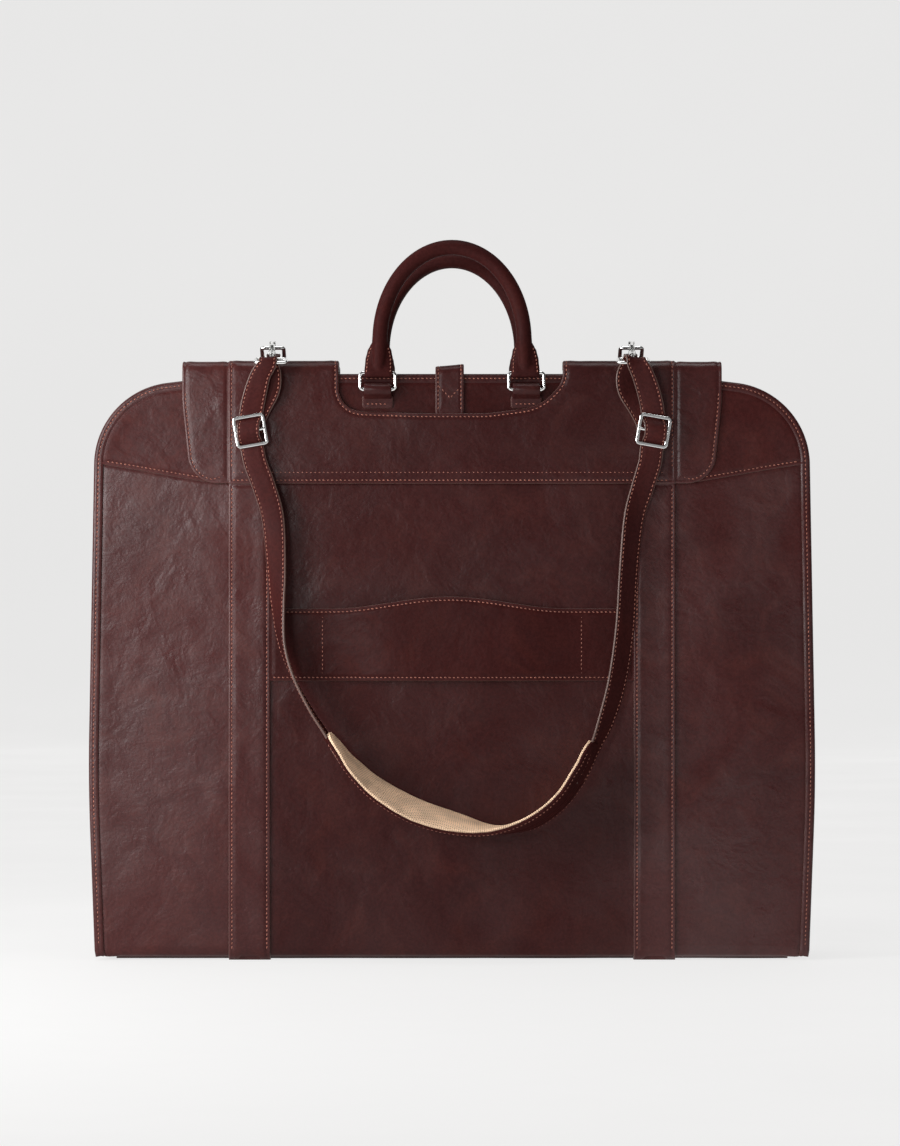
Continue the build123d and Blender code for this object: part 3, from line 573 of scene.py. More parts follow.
NODE_MATERIALS = {
    "burgundy_leather": body_leather,
    "strap_leather": strap_leather,
    "lining_leather": beige,
    "polished_nickel": nickel,
    "zinc_steel": zinc,
    "board": board,
    "lining_fabric": lining_cloth,
    "webbing": webbing,
    "cord": piping,
}
for part in frame["record"]["subparts"]:
    slots = NODES[part["node"]].data.materials
    slots.clear()
    slots.append(NODE_MATERIALS[part["material_slot"]])

# ---- Shape of the halves -------------------------------------------------------------------


def relief(x, z):
    """The soft swell of the leather, which dies out towards the outline and the top."""
    fade = smooth(299 - abs(x), 0, 70) * smooth(z, 6, 70) * smooth(452 - z, 0, 60)
    broad = noise.noise(Vector((x / 110, z / 150, 2.7)))
    small = noise.noise(Vector((x / 46, z / 60, 9.1)))
    return fade * (0.5 + 1.5 * broad + 0.45 * small) + 0.12 * noise.noise(Vector((x / 30, z / 30, 5.0)))


def face_point(x, s, h):
    """On the front's leather: s is the height, and below FOOT_TURN it runs round under the base."""
    rise = h + relief(x, s)
    past = FOOT_TURN - s
    if past <= 0:
        return Vector((x, FRONT_Y - rise, s))
    angle = min(past / FOOT_RADIUS, math.pi / 2)
    flat = max(0.0, past - FOOT_RADIUS * math.pi / 2)
    radius = FOOT_RADIUS + rise
    return Vector((
        x,
        FRONT_Y + FOOT_RADIUS - radius * math.cos(angle) + flat,
        FOOT_TURN - radius * math.sin(angle),
    ))


FOOT_END = FOOT_TURN - FOOT_RADIUS * math.pi / 2 - (-BASE_EDGE_Y - FRONT_Y - FOOT_RADIUS)


def face_outline():
    """The outline of one half, anticlockwise from the lower right corner."""
    right = [(FOOT_HALF, 3), (306.5, 150), (300.5, 479), (225, 488), (125, TOP_Z)]
    left = [(-x, z) for x, z in reversed(right)]
    radii = [5, 1500, 70, 60, 60]
    return rounded(right + left, radii + radii[::-1])


def edge_path():
    """The outline without its bottom: up the right side, over the top and down the left."""
    corner = Vector((FOOT_HALF - 0.8, FOOT_LIFT))
    sides = [p for p in resample(face_outline(), 4.0) if p.y > 6]
    start = min(range(len(sides)), key=lambda k: (sides[k] - corner).length)
    sides = sides[start:] + sides[:start]
    return [corner, *sides, Vector((-corner.x, corner.y))]


def sweep_edge(name, path, profile, materials, indices=None):
    """A profile of inward distance and y, swept along the outline."""
    sections = []
    for k, point in enumerate(path):
        normal = inward(path, k, closed=False)
        section = []
        for distance, y in profile:
            spot = point + normal * distance
            section.append(Vector((spot.x, y, spot.y)))
        sections.append(section)
    return loft(name, sections, materials, indices)


BINDING_PROFILE = [
    (8.3, -49.4), (8.1, -50.7), (7.5, -51.2), (5.0, -51.3), (4.0, -50.9), (3.0, -51.3), (1.7, -51.1),
    (0.5, -50.2), (0.0, -48.8), (0.0, -46.2), (1.4, -45.4), (3.0, -47.0),
]
GUSSET_PROFILE = [
    (1.6, -46.0), (2.2, -40.0), (3.4, -24.5), (2.2, -10.0), (1.1, -7.6), (0.9, -4.4), (1.7, -3.0),
    (3.2, -3.0), (4.2, -4.4), (4.4, -8.0), (5.8, -24.5), (4.6, -40.0), (4.0, -46.0),
]


def seam_height(x):
    """Height of the yoke seam."""
    share = smooth((abs(x) - 190) / 115)
    return 402.5 + 4.5 * share + max(0.0, abs(x) - 206) * 0.118


def yoke_outline():
    upper = [p for p in inset(resample(face_outline(), 4.0), 4.5) if p.y > seam_height(p.x) + 2]
    start = max(range(len(upper)), key=lambda k: (upper[k] - upper[k - 1]).length)
    upper = upper[start:] + upper[:start]
    half = 297.5
    steps = 60
    lower = [Vector((-half + 2 * half * k / steps, 0)) for k in range(steps + 1)]
    for point in lower:
        point.y = seam_height(point.x)
    return lower + upper


def panel_outline():
    half_top = 299.0
    steps = 60
    top = [Vector((half_top - 2 * half_top * k / steps, 0)) for k in range(steps + 1)]
    for point in top:
        point.y = seam_height(point.x) + 3
    side = [p for p in inset(resample(face_outline(), 4.0), 4.5) if 16 < p.y < seam_height(p.x) - 2]
    right = sorted((p for p in side if p.x > 0), key=lambda p: p.y)
    left = sorted((p for p in side if p.x < 0), key=lambda p: -p.y)
    foot_left = [Vector((-296.4, 12)), Vector((-296, 6)), Vector((-295, FOOT_END))]
    foot_right = [Vector((295, FOOT_END)), Vector((296, 6)), Vector((296.4, 12))]
    return foot_left + foot_right + right + top + left


def half_shell(front):
    """The leather of one half: panel, yoke, binding, side wall and bands."""
    half = "front" if front else "back"
    place = face_point if front else mirror_y(face_point)
    fold = ("spine", half + "_half", front)
    panel = sheet(half + "_skin", panel_outline(), place, 0.0, -LEATHER, LEATHERS)
    yoke = sheet(half + "_yoke_leather", yoke_outline(), place, YOKE_RISE, -1.0, DEEP_LEATHERS)
    path = edge_path()
    binding = sweep_edge(half + "_edge_binding", path, BINDING_PROFILE, LEATHERS, [1] + [0] * 11)
    sides = [0] * 4 + [1] * 4 + [2] * 5
    gusset = sweep_edge(half + "_side_wall", path[1:-1], GUSSET_PROFILE, LEATHERS, sides)
    if not front:
        for piece in (binding, gusset):
            for vertex in piece.data.vertices:
                vertex.co.y = -vertex.co.y
    straps = []
    for side, word in SIDES:
        low, high = sorted((side * BAND[0], side * BAND[1]))
        outline = [(low, FOOT_END), (high, FOOT_END), (high, BAND_TOP), (low, BAND_TOP)]
        name = half + "_" + word + "_band"
        straps.append(sheet(name, outline, place, LEATHER, -0.3, LEATHERS, margin=7))
        for x in (low + STITCH_INSET, high - STITCH_INSET):
            stitch_line(fold, [(x, 9), (x, BAND_TOP - 2.5)], place, LEATHER - 0.3)
    for piece in (panel, *straps):
        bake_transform(piece)
    for piece in (yoke, binding, gusset):
        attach(piece, half + "_half")
    if front:
        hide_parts("front_panel", "spine_panel")
    else:
        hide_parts("back_panel")
    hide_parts(half + "_yoke")
    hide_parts(half + "_binding")
    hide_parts(half + "_gusset")
    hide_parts(half + "_bands")
    rides = half + "_half"
    stitch_line(rides, inset(path, 4.0, closed=False)[2:-2], place, YOKE_RISE - 0.25)
    left = [(x, seam_height(x) + 3.0) for x in range(-291, -200, 6)]
    stitch_line(rides, left, place, YOKE_RISE - 0.25)
    stitch_line(rides, [(-x, z) for x, z in left], place, YOKE_RISE - 0.25)
    if not front:
        middle = [(x, seam_height(x) + 3.0) for x in range(-204, 206, 6)]
        stitch_line(rides, middle, place, YOKE_RISE - 0.25)
    return panel


half_shell(True)
half_shell(False)

# ---- Trolley sleeve ------------------------------------------------------------------------


def sleeve_top(x):
    swell = 0.5 + 0.5 * math.cos(math.pi * min(abs(x + 2) / 100, 1))
    return SLEEVE_HIGH + (SLEEVE_CROWN - SLEEVE_HIGH) * swell


def sleeve_lift(x, _):
    return SLEEVE_GAP * smooth(SLEEVE_HALF - abs(x), -2, 62) * (0.9 + 0.1 * math.cos(x / 70))


def sleeve():
    end = BAND[0] + 1.5
    top = [(x, sleeve_top(x)) for x in range(150, -151, -5)]
    outline = [(-end, SLEEVE_LOW), (end, SLEEVE_LOW), (end, SLEEVE_HIGH), *top, (-end, SLEEVE_HIGH)]
    piece = sheet(
        "sleeve_leather", outline, face_point,
        lambda x, s: LEATHER * 0.8 + sleeve_lift(x, s), lambda x, s: sleeve_lift(x, s) - 0.3,
        DEEP_LEATHERS, margin=7,
    )
    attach(piece, "front_half")
    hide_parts("trolley_sleeve")

    def height(x, s):
        return LEATHER * 0.8 + sleeve_lift(x, s) - 0.28

    stitch_line("front_half", [(x, SLEEVE_LOW + 3) for x in range(-151, 152, 3)], face_point, height)
    stitch_line("front_half", [(x, sleeve_top(x) - 3) for x in range(-151, 152, 3)], face_point, height)
    for x in (-SLEEVE_HALF, SLEEVE_HALF):
        stitch_line("front_half", [(x, SLEEVE_LOW + 5), (x, SLEEVE_HIGH - 4)], face_point, height)


sleeve()

# ---- Saddle and flaps ----------------------------------------------------------------------

SADDLE_BEND = 4.5           # radius of the pattern's own line; the leather's face is outside it
SADDLE_TOP = 505.0 - SADDLE_RISE
BEND_START = SADDLE_TOP - SADDLE_BEND
BEND_RATE = SADDLE_BEND + SADDLE_RISE
BEND_END = BEND_START + BEND_RATE * math.pi / 2
SPLIT = BEND_END + 14
FLAP_END = BEND_END + 50 - FRONT_Y - SADDLE_BEND


def saddle_swell(x, s):
    """The saddle is lightly padded: it swells above its stitched lower edge."""
    inside = smooth(s, SADDLE_LOW + 12, SADDLE_LOW + 40) * smooth(BEND_START + 6 - s, 0, 30)
    return inside * (0.7 + 0.7 * noise.noise(Vector((x / 70, s / 50, 4.2))))


def saddle_point(x, s, h):
    rise = h + saddle_swell(x, s)
    past = s - BEND_START
    if past <= 0:
        return Vector((x, FRONT_Y - rise, s))
    angle = min(past / BEND_RATE, math.pi / 2)
    flat = max(0.0, s - BEND_END)
    radius = SADDLE_BEND + rise
    return Vector((
        x,
        FRONT_Y + SADDLE_BEND - radius * math.cos(angle) + flat,
        BEND_START + radius * math.sin(angle),
    ))


def top_s(y):
    """Pattern position of a place on the saddle's top."""
    return BEND_END + y - FRONT_Y - SADDLE_BEND


CUTOUT = [(-96.5, 530), (-95.0, 462.5), (-30, 460.2), (30, 460.2), (74, 466.0), (93.0, 486.0), (95.5, 530)]
CUTOUT_RADII = [0, 20, 60, 80, 40, 22, 0]


def cutout_edge():
    """The notch for the handles, from its upper left end to its upper right end."""
    corners = rounded(CUTOUT, CUTOUT_RADII)
    return [p for p in corners if p.y < 525]


def saddle_bottom(x, s):
    return 1.0 - 4.0 * smooth(s, BEND_START - 2, BEND_START + 10)


def saddle():
    notch = cutout_edge()
    left_wall = Vector((notch[0].x, SPLIT))
    right_wall = Vector((notch[-1].x, SPLIT))
    outline = [
        Vector((-SADDLE_SEAM, SADDLE_LOW)), Vector((SADDLE_SEAM, SADDLE_LOW)), Vector((SADDLE_SEAM, SPLIT)),
        right_wall, *reversed(notch), left_wall, Vector((-SADDLE_SEAM, SPLIT)),
    ]
    piece = sheet("saddle_leather", outline, saddle_point, SADDLE_RISE, saddle_bottom, LEATHERS, spacing=5.5)
    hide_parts("saddle_front")
    pieces = [piece]
    height = SADDLE_RISE - 0.3
    inner = SADDLE_SEAM - STITCH_INSET
    for z in (404.0, 410.5):
        stitch_line("front_half", [(-inner, z), (inner, z)], saddle_point, height)
    path = [left_wall, *notch, right_wall]
    notch_line = inset(path, -STITCH_INSET, closed=False)
    stitch_line("front_half", notch_line, saddle_point, height)
    for side, name in SIDES:
        corners = [(186.5, 401.3), (219.8, 401.3), (227.0, 470), (227.0, SPLIT), (186.5, SPLIT)]
        outline = on_side(side, rounded(corners, [0, 25, 150, 0, 0]))
        name += "_ear_leather"
        ear = sheet(name, outline, saddle_point, EAR_RISE, saddle_bottom, LEATHERS, spacing=5.5)
        pieces.append(ear)
        seam_line = [(side * inner, 415), (side * inner, BEND_END)]
        stitch_line("front_half", seam_line, saddle_point, height)
        edge = [p for p in inset(outline, STITCH_INSET) if p.y < SPLIT - 4 and abs(p.x) > 200]
        edge.sort(key=lambda p: -p.y)
        edge += [Vector((side * 195, 406.5)), Vector((side * 189, 409.8))]
        stitch_line("front_half", edge, saddle_point, EAR_RISE - 0.3)
    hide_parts("saddle_ears")
    for piece in pieces:
        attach(piece, "front_half")


def flap_bottom(_, s):
    hinge = top_s(HINGE_Y)
    thin = SADDLE_RISE - LEATHER
    base = -3.0 if s < hinge else -1.0
    return thin + (base - thin) * smooth(abs(s - hinge), 1.5, 4)


def flaps():
    for side, name in SIDES:
        inner = 95.8 if side > 0 else 96.7
        corners = [(inner, SPLIT + 0.05), (227.0, SPLIT + 0.05), (227.0, FLAP_END), (inner, FLAP_END)]
        outline = on_side(side, rounded(corners, [0, 0, 14, 14]))
        piece = sheet(
            name + "_flap_leather", outline, saddle_point, SADDLE_RISE, flap_bottom, LEATHERS, spacing=5.5,
        )
        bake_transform(piece)
        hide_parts(name + "_flap")
        if side > 0:
            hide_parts("saddle_tops")
        ring = inset(outline, STITCH_INSET)
        hinge = top_s(HINGE_Y)
        start = min(range(len(ring)), key=lambda k: (ring[k] - Vector((side * inner, hinge))).length)
        ring = ring[start:] + ring[:start]
        flap_part = [p for p in ring if p.y > hinge + 4]
        flap_part.sort(key=lambda p: math.atan2(p.x - side * 160, p.y - hinge - 4))
        stitch_line(name + "_flap", flap_part, saddle_point, SADDLE_RISE - 0.3)


saddle()
flaps()

# ---- Straps of leather ---------------------------------------------------------------------

STRAP_EDGE = 0.7


def strap_section(width, thickness):
    """Half round edges and a pressed line beside each, as (across, up)."""
    half = width / 2
    face = thickness / 2
    groove = min(2.2, half * 0.3)
    side = [
        (half, 0.0), (half - 0.12, face * 0.5), (half - STRAP_EDGE, face), (half - groove + 0.6, face),
        (half - groove, face - 0.25), (half - groove - 0.6, face + 0.02), (half * 0.4, face + 0.1),
    ]
    upper = side + [(-u, v) for u, v in reversed(side)]
    lower = [(-u, -v) for u, v in upper]
    return upper[:-1] + lower[:-1]


def strap_edges(thickness):
    """The painted faces of the section."""
    count = len(strap_section(20.0, thickness))
    half = count // 2
    painted = {0, 1, half - 2, half - 1, half, half + 1, count - 2, count - 1}
    return [1 if k in painted else 0 for k in range(count)]


def frames(rows, step):
    """Centre, across, normal and width along a strap. Rows are x, y, z, across and width."""
    dense = spline(rows, step)
    out = []
    for k, row in enumerate(dense):
        centre = Vector(row[:3])
        ahead = Vector(dense[min(k + 1, len(dense) - 1)][:3])
        along = (ahead - Vector(dense[max(k - 1, 0)][:3])).normalized()
        across = Vector(row[3:6])
        across = (across - along * across.dot(along)).normalized()
        out.append((centre, across, along.cross(across), row[6]))
    return out


def ribbon(name, rows, thickness, body, stitched=(1, -1), step=3.0, materials=None, round_tip=False):
    """A leather strap along rows, stitched near both edges on the given faces."""
    stations = frames(rows, step)
    sections = []
    for k, (centre, across, normal, width) in enumerate(stations):
        if round_tip:
            left = (len(stations) - 1 - k) * step
            width *= math.sqrt(1 - (1 - min(left / (width / 2), 1)) ** 2) * 0.97 + 0.03
        sections.append([centre + across * u + normal * v for u, v in strap_section(width, thickness)])
    piece = loft(name, sections, materials or STRAPS, strap_edges(thickness))
    for face in stitched:
        for side in (-1, 1):
            points = []
            for centre, across, normal, width in stations:
                inner = side * (width / 2 - min(2.2, width * 0.15))
                points.append(centre + across * inner + normal * face * (thickness / 2 - 0.2))
            ups = [n * face for _, _, n, _ in stations]
            if round_tip:
                points, ups = points[:-3], ups[:-3]
            stitch_run(body, points, ups)
    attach(piece, body)
    return piece


# ---- Handles -------------------------------------------------------------------------------

HANDLE_HALF = 60.6
HANDLE_SPRING = 521.0
HANDLE_ARCH = 78.5
HANDLE_RADIUS = 6.4
HANDLE_SPLAY = 0.04         # the legs spread outwards by this share of the way down
HANDLE_STEPS = 60
HANDLE_WINGS = [(490.05, 11.6), (495.0, 12.1), (505.0, 11.6), (512.5, 10.2), (516.5, 8.2), (520.5, 5.5)]
HANDLE_DEPTHS = [
    (490.05, 0.5), (490.5, 2.0), (491.6, 3.2), (494.2, 4.1),
    (498.0, 3.3), (503.0, 2.1), (512.0, 1.9), (520.5, 1.6),
]
HANDLE_ROLL = [(490.05, 0.5), (494.5, 2.6), (497.5, 4.6), (502.0, 5.6), (512.0, 6.2), (520.5, HANDLE_RADIUS)]


def along_table(table, value):
    """A value between the rows of a table, easing in and out of each row."""
    for (low, first), (high, second) in zip(table, table[1:]):
        if value <= high:
            return first + (second - first) * smooth(value, low, high)
    return table[-1][1]


def handle_section(height):
    """Half-turn symmetric outline of the handle: a roll that spreads into a flat end."""
    wing = along_table(HANDLE_WINGS, height)
    depth = along_table(HANDLE_DEPTHS, height)
    roll = along_table(HANDLE_ROLL, height)
    points = []
    for k in range(40):
        angle = 2 * math.pi * k / 40
        c, s = abs(math.cos(angle)), abs(math.sin(angle))
        flat = 1 / ((c / wing) ** 5 + (s / depth) ** 5) ** 0.2
        reach = flat if height < 520 else 0
        radius = (reach ** 10 + roll ** 10) ** 0.1
        points.append((radius * math.cos(angle), radius * math.sin(angle)))
    return points


def handle(front):
    half = "front" if front else "back"
    sign = 1 if front else -1
    stations = []
    heights = [490.05, 490.2, 490.6, 491.3, 492.5]
    while heights[-1] < HANDLE_SPRING - 2:
        heights.append(heights[-1] + 1.5)
    for z in heights:
        stations.append((Vector((-HANDLE_HALF - HANDLE_SPLAY * (HANDLE_SPRING - z), z)), Vector((0, 1)), z))
    for k in range(1, HANDLE_STEPS):
        turn = math.pi * k / HANDLE_STEPS
        spot = Vector((-HANDLE_HALF * math.cos(turn), HANDLE_SPRING + HANDLE_ARCH * math.sin(turn)))
        along = Vector((HANDLE_HALF * math.sin(turn), HANDLE_ARCH * math.cos(turn))).normalized()
        stations.append((spot, along, 560.0))
    for spot, along, z in reversed(stations[:len(heights)]):
        stations.append((Vector((-spot.x, spot.y)), Vector((0, -1)), z))
    sections = []
    for spot, along, z in stations:
        across = Vector((along.y, -along.x))
        section = []
        for u, v in handle_section(z):
            section.append(Vector((spot.x + across.x * u, sign * (RING_Y - v), spot.y + across.y * u)))
        sections.append(section)
    piece = loft(half + "_rolled_handle", sections, STRAPS)
    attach(piece, half + "_handle")
    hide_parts(half + "_handle")
    for side in (-1, 1):
        for edge in (-1, 1):
            for face in (-1, 1):
                points = []
                for z in range(494, 517, 2):
                    wing = along_table(HANDLE_WINGS, z) - 2.0
                    x = side * (HANDLE_HALF + HANDLE_SPLAY * (HANDLE_SPRING - z)) + edge * wing
                    depth = along_table(HANDLE_DEPTHS, z)
                    points.append(Vector((x, sign * (RING_Y - face * (depth - 0.15)), z)))
                stitch_run(half + "_handle", points, [Vector((0, -sign * face, 0))] * len(points), pitch=3.2)


TAB_BARREL = 5.6            # radius of the tab's turn round the ring's bar
RING_BAR_Z = 480.0
SLOT_LOW = 464.6
SLOT_HIGH = 475.4
SLOT_HALF = 13.0


def slot_rise(_, s):
    """The slot's rim swells towards the tab that comes out of it."""
    return YOKE_RISE + 1.2 + 1.6 * smooth(s, 467, 474)


def handle_tabs(front):
    """Tabs that turn round the rings, and the pressed slots that they come out of."""
    half = "front" if front else "back"
    place = face_point if front else mirror_y(face_point)
    sign = 1 if front else -1
    profile = []
    for k in range(15):
        angle = math.radians(-75 + 250 * k / 14)
        y = RING_Y - TAB_BARREL * math.cos(angle)
        profile.append(Vector((y, RING_BAR_Z + TAB_BARREL * math.sin(angle))))
    profile += [Vector((-51.5, 481)), Vector((-51.0, 474)), Vector((-51.0, 470)), Vector((-52.6, 471.6))]
    pieces = []
    for side, word in SIDES:
        sections = []
        for u, scale in ((-11.6, 0.86), (-11.3, 0.96), (-10.8, 1.0), (10.8, 1.0), (11.3, 0.96), (11.6, 0.86)):
            middle = Vector((RING_Y + 1.5, 478))
            section = []
            for point in profile:
                spot = middle + (point - middle) * scale
                section.append(Vector((side * RING_X + u, sign * spot.x, spot.y)))
            sections.append(section)
        name = half + "_" + word
        pieces.append(loft(name + "_ring_tab", sections, LEATHERS))
        corners = [
            (-SLOT_HALF, SLOT_LOW), (SLOT_HALF, SLOT_LOW), (SLOT_HALF, SLOT_HIGH), (-SLOT_HALF, SLOT_HIGH),
        ]
        outline = [Vector((side * RING_X + p.x, p.y)) for p in rounded(corners, [2.5] * 4, 1.0)]
        name += "_slot_rim"
        pieces.append(sheet(name, outline, place, slot_rise, 0.8, LEATHERS, spacing=3, margin=2.0))
        row = [(side * RING_X + u, SLOT_LOW + 3.6) for u in (-10, 10)]
        stitch_line(half + "_half", row, place, lambda x, s: slot_rise(x, s) - 0.2)
    for piece in pieces:
        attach(piece, half + "_half")
    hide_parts(half + "_handle_tabs")


for is_front in (True, False):
    handle(is_front)
    handle_tabs(is_front)

# ---- Centre tab and D-ring tabs ------------------------------------------------------------

TAB_X = -2.0
TAB_TOP = 497.0
TAB_BEND = 3.0
TAB_RISE = 3.6
TAB_START = TAB_TOP - TAB_BEND
TAB_RATE = TAB_BEND + TAB_RISE
TAB_TURNED = TAB_START + TAB_RATE * math.pi / 2
TAB_BACK = TAB_TURNED + 43.0
TAB_OVER = TAB_BACK + 4.0
TAB_LAST = TAB_OVER + 9.0


def tab_point(x, s, h):
    """Up the front, back over the top of the front half and down behind its rim."""
    slant = 0.09 * (x - TAB_X) * smooth(s, 480, 497) * (1 - smooth(s, TAB_BACK - 12, TAB_BACK))
    h = h + 0.5 * smooth(s, 488, 497) * (1 - smooth(s, TAB_TURNED, TAB_TURNED + 10))
    past = s - TAB_START
    if past <= 0:
        return Vector((x, FRONT_Y - h, s + slant))
    angle = min(past / TAB_RATE, math.pi / 2)
    flat = min(max(0.0, s - TAB_TURNED), TAB_BACK - TAB_TURNED)
    radius = TAB_BEND + h
    y = FRONT_Y + TAB_BEND - radius * math.cos(angle) + flat
    z = TAB_START + radius * math.sin(angle) + slant
    if s > TAB_BACK:
        turn = min((s - TAB_BACK) / 4.0, 1.0) * math.pi / 2
        drop = max(0.0, s - TAB_OVER)
        inner = h - TAB_RISE + 3.0
        y += inner * math.sin(turn)
        z = TAB_TOP + TAB_RISE - 3.0 + inner * math.cos(turn) - drop + slant
    return Vector((x, y, z))


def centre_tab():
    corners = [(TAB_X - 12, 458.5), (TAB_X + 12, 458.5), (TAB_X + 12, TAB_LAST), (TAB_X - 12, TAB_LAST)]
    outline = rounded(corners, [0, 0, 3, 3])
    piece = sheet("centre_strap", outline, tab_point, TAB_RISE, 1.3, LEATHERS, spacing=2.5, margin=4)
    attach(piece, "front_half")
    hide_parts("centre_tab")
    for x in (TAB_X - 9.6, TAB_X + 9.6):
        stitch_line("front_half", [(x, 463), (x, TAB_BACK)], tab_point, TAB_RISE - 0.3)
    point = [(TAB_X - 9.4, 483.5), (TAB_X + 0.5, 473.2), (TAB_X + 9.4, 482.5)]
    stitch_line("front_half", point, tab_point, TAB_RISE - 0.05)


def d_ring_tabs():
    """Leather loops on the saddle that hold the D-rings' bars."""
    bar_y, bar_z = -16.0, 509.4
    turn = 3.0
    for side, word in SIDES:
        path = [(-4.5, 506.1), (-9.0, 506.2), (-13.0, 506.6)]
        for k in range(9):
            angle = math.radians(-80 - 235 * k / 8)
            path.append((bar_y + turn * math.cos(angle), bar_z + turn * math.sin(angle)))
        path += [(-9.5, 508.4), (-5.0, 508.2)]
        rows = [(side * HOOK_X, y, z, 1, 0, 0, 11.8) for y, z in path]
        name = word + "_ring_loop"
        piece = ribbon(name, rows, 1.7, "front_half", stitched=(), step=1.5, materials=LEATHERS)
        if side > 0:
            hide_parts("d_ring_tabs")


centre_tab()
d_ring_tabs()

# ---- Shoulder strap ------------------------------------------------------------------------


def strap_rows(side, rows):
    """Rows of x outwards, y, z, the turn of the width from inwards to the front, how far its
    inner side is tilted up, and the width."""
    out = []
    for x, y, z, turn, tilt, width in rows:
        turn, tilt = math.radians(turn), math.radians(tilt)
        across = (
            -side * math.cos(turn) * math.cos(tilt), -math.sin(turn) * math.cos(tilt), math.sin(tilt),
        )
        out.append((side * x, y, z, *across, width))
    return out


def through_buckle():
    """The strap's way up over the buckle's middle bar."""
    x, y, z = BUCKLE
    return [
        (x - 0.6, y + 3.1, z + 15.5, 0, 10, 20),
        (x + 0.2, y + 2.9, z + 11.2, 0, 10, 20),
        (x + 0.6, y + 0.6, z + 8.0, 0, 10, 19.5),
        (x + 1.4, y - 2.8, z + 5.0, 0, 10, 19),
        (x + 1.7, y - 4.2, z + 0.2, 0, 10, 19),
        (x + 1.4, y - 2.8, z - 4.8, 0, 10, 19),
        (x + 0.6, y + 0.6, z - 7.8, 0, 10, 19.5),
        (x - 0.2, y + 2.9, z - 11.0, 0, 9, 20),
        (x - 1.6, y + 3.1, z - 15.5, 0, 6, 20),
    ]


LEFT_FRONT = [
    (154.6, -68.9, 500.0, 0, 4, 15.2),
    (160.0, -67.8, 492.0, 0, 5, 17.0),
    (164.0, -65.6, 480.0, 0, 7, 19.0),
    (167.0, -63.0, 468.0, 0, 9, 20.0),
]
LEFT_LEG = [
    (165.0, -61.0, 418, 0, 4, 20),
    (158.0, -60.4, 399, 6, 2, 20),
    (150.4, -60.4, 372, 16, 0, 20),
    (147.2, -62.0, 328, 36, 0, 20),
    (145.8, -64.5, 298, 55, 0, 20),
    (142.2, -67.5, 266, 74, 0, 20),
    (132.5, -70.0, 238, 86, -2, 20),
    (118.0, -73.0, 211, 90, -6, 20),
    (106.0, -74.8, 192.5, 90, -10, 19),
    (98.6, -75.8, 178.5, 90, -14, 18),
    (88.0, -76.6, 163.2, 90, -16, 18),
]
LEFT_BACK = [
    (167.5, -58.9, 443, 0, 8, 19),
    (167.0, -58.8, 452, 0, 8, 19),
    (161.5, -59.4, 465, 0, 5, 19.5),
    (153.5, -60.6, 480, 8, 2, 19.0),
    (151.8, -62.4, 492, 6, 0, 17.5),
    (153.0, -63.3, 500.0, 0, 2, 15.2),
]
RIGHT_FRONT = [
    (154.8, -69.0, 501.0, 0, 11, 16.8),
    (159.2, -68.0, 493.0, 0, 12, 18.5),
    (164.0, -65.8, 480.0, 0, 11, 19.6),
    (167.4, -63.0, 467.0, 0, 9, 20.0),
]
RIGHT_LEG = [
    (166.0, -61.0, 418, 4, 5, 20),
    (160.0, -60.5, 398, 14, 4, 20),
    (152.6, -61.2, 372, 28, 2, 20),
    (148.0, -62.0, 328, 36, 0, 20),
    (145.0, -63.5, 280, 34, 0, 20),
    (138.5, -67.0, 236, 36, 0, 20),
    (129.0, -71.0, 203, 46, 6, 20),
    (120.2, -74.8, 182, 66, 20, 19),
    (113.6, -77.6, 165.5, 80, 34, 18.5),
    (104.5, -78.8, 149.0, 88, 38, 18),
]
RIGHT_BACK = [
    (164.5, -58.9, 443, 0, 6, 19),
    (163.5, -58.8, 453, 0, 6, 19.5),
    (157.0, -59.6, 466, 4, 4, 20),
    (148.6, -61.0, 479, 14, 3, 20),
    (146.8, -62.6, 491, 12, 6, 19.0),
    (150.4, -63.4, 500.5, 2, 11, 16.8),
]
BAR_Y, BAR_Z = -66.0, 502.0


def bar_turn(x_back, x_front, tilt, width):
    """Rows round the top of the ring's bar, from behind it to the front."""
    rows = []
    for k in range(1, 6):
        angle = math.pi * k / 6
        x = x_back + (x_front - x_back) * k / 6
        rows.append((x, BAR_Y + 2.9 * math.cos(angle), BAR_Z + 0.4 + 3.2 * math.sin(angle), 0, tilt, width))
    return rows


def shoulder_strap():
    for side, name, back, front, leg, tilt, width in (
        (-1, "left", LEFT_BACK, LEFT_FRONT, LEFT_LEG, 3, 15.2),
        (1, "right", RIGHT_BACK, RIGHT_FRONT, RIGHT_LEG, 11, 16.8),
    ):
        turn = bar_turn(back[-1][0], front[0][0], tilt, width)
        rows = strap_rows(side, back + turn + front + through_buckle() + leg)
        piece = ribbon(name + "_strap_leather", rows, 2.3, "shoulder_strap", step=2.2, round_tip=True)
        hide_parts(name + "_strap")


# x, y, z, how far the front edge drops in degrees, width
PAD_ROWS = [
    (-104.5, -75.4, 190.5, 12, 12),
    (-101.5, -75.7, 186.5, 13, 22),
    (-96.0, -76.2, 179.5, 14, 31),
    (-84.0, -77.0, 164.0, 17, 42),
    (-62.0, -79.0, 144.0, 20, 46.5),
    (-30.0, -80.0, 126.0, 21, 47),
    (5.0, -80.0, 115.5, 15, 47),
    (36.0, -80.0, 111.0, 0, 47),
    (66.0, -79.5, 117.0, -14, 47),
    (90.0, -78.0, 134.0, -22, 45),
    (106.0, -77.0, 156.0, -34, 40),
    (113.0, -76.3, 170.5, -42, 33),
    (117.0, -75.8, 180.0, -44, 24),
    (118.6, -75.6, 184.5, -44, 13),
]
PAD_STEPS = 26
DIAGONAL = math.sqrt(0.5)     # the lining's rows of holes run aslant


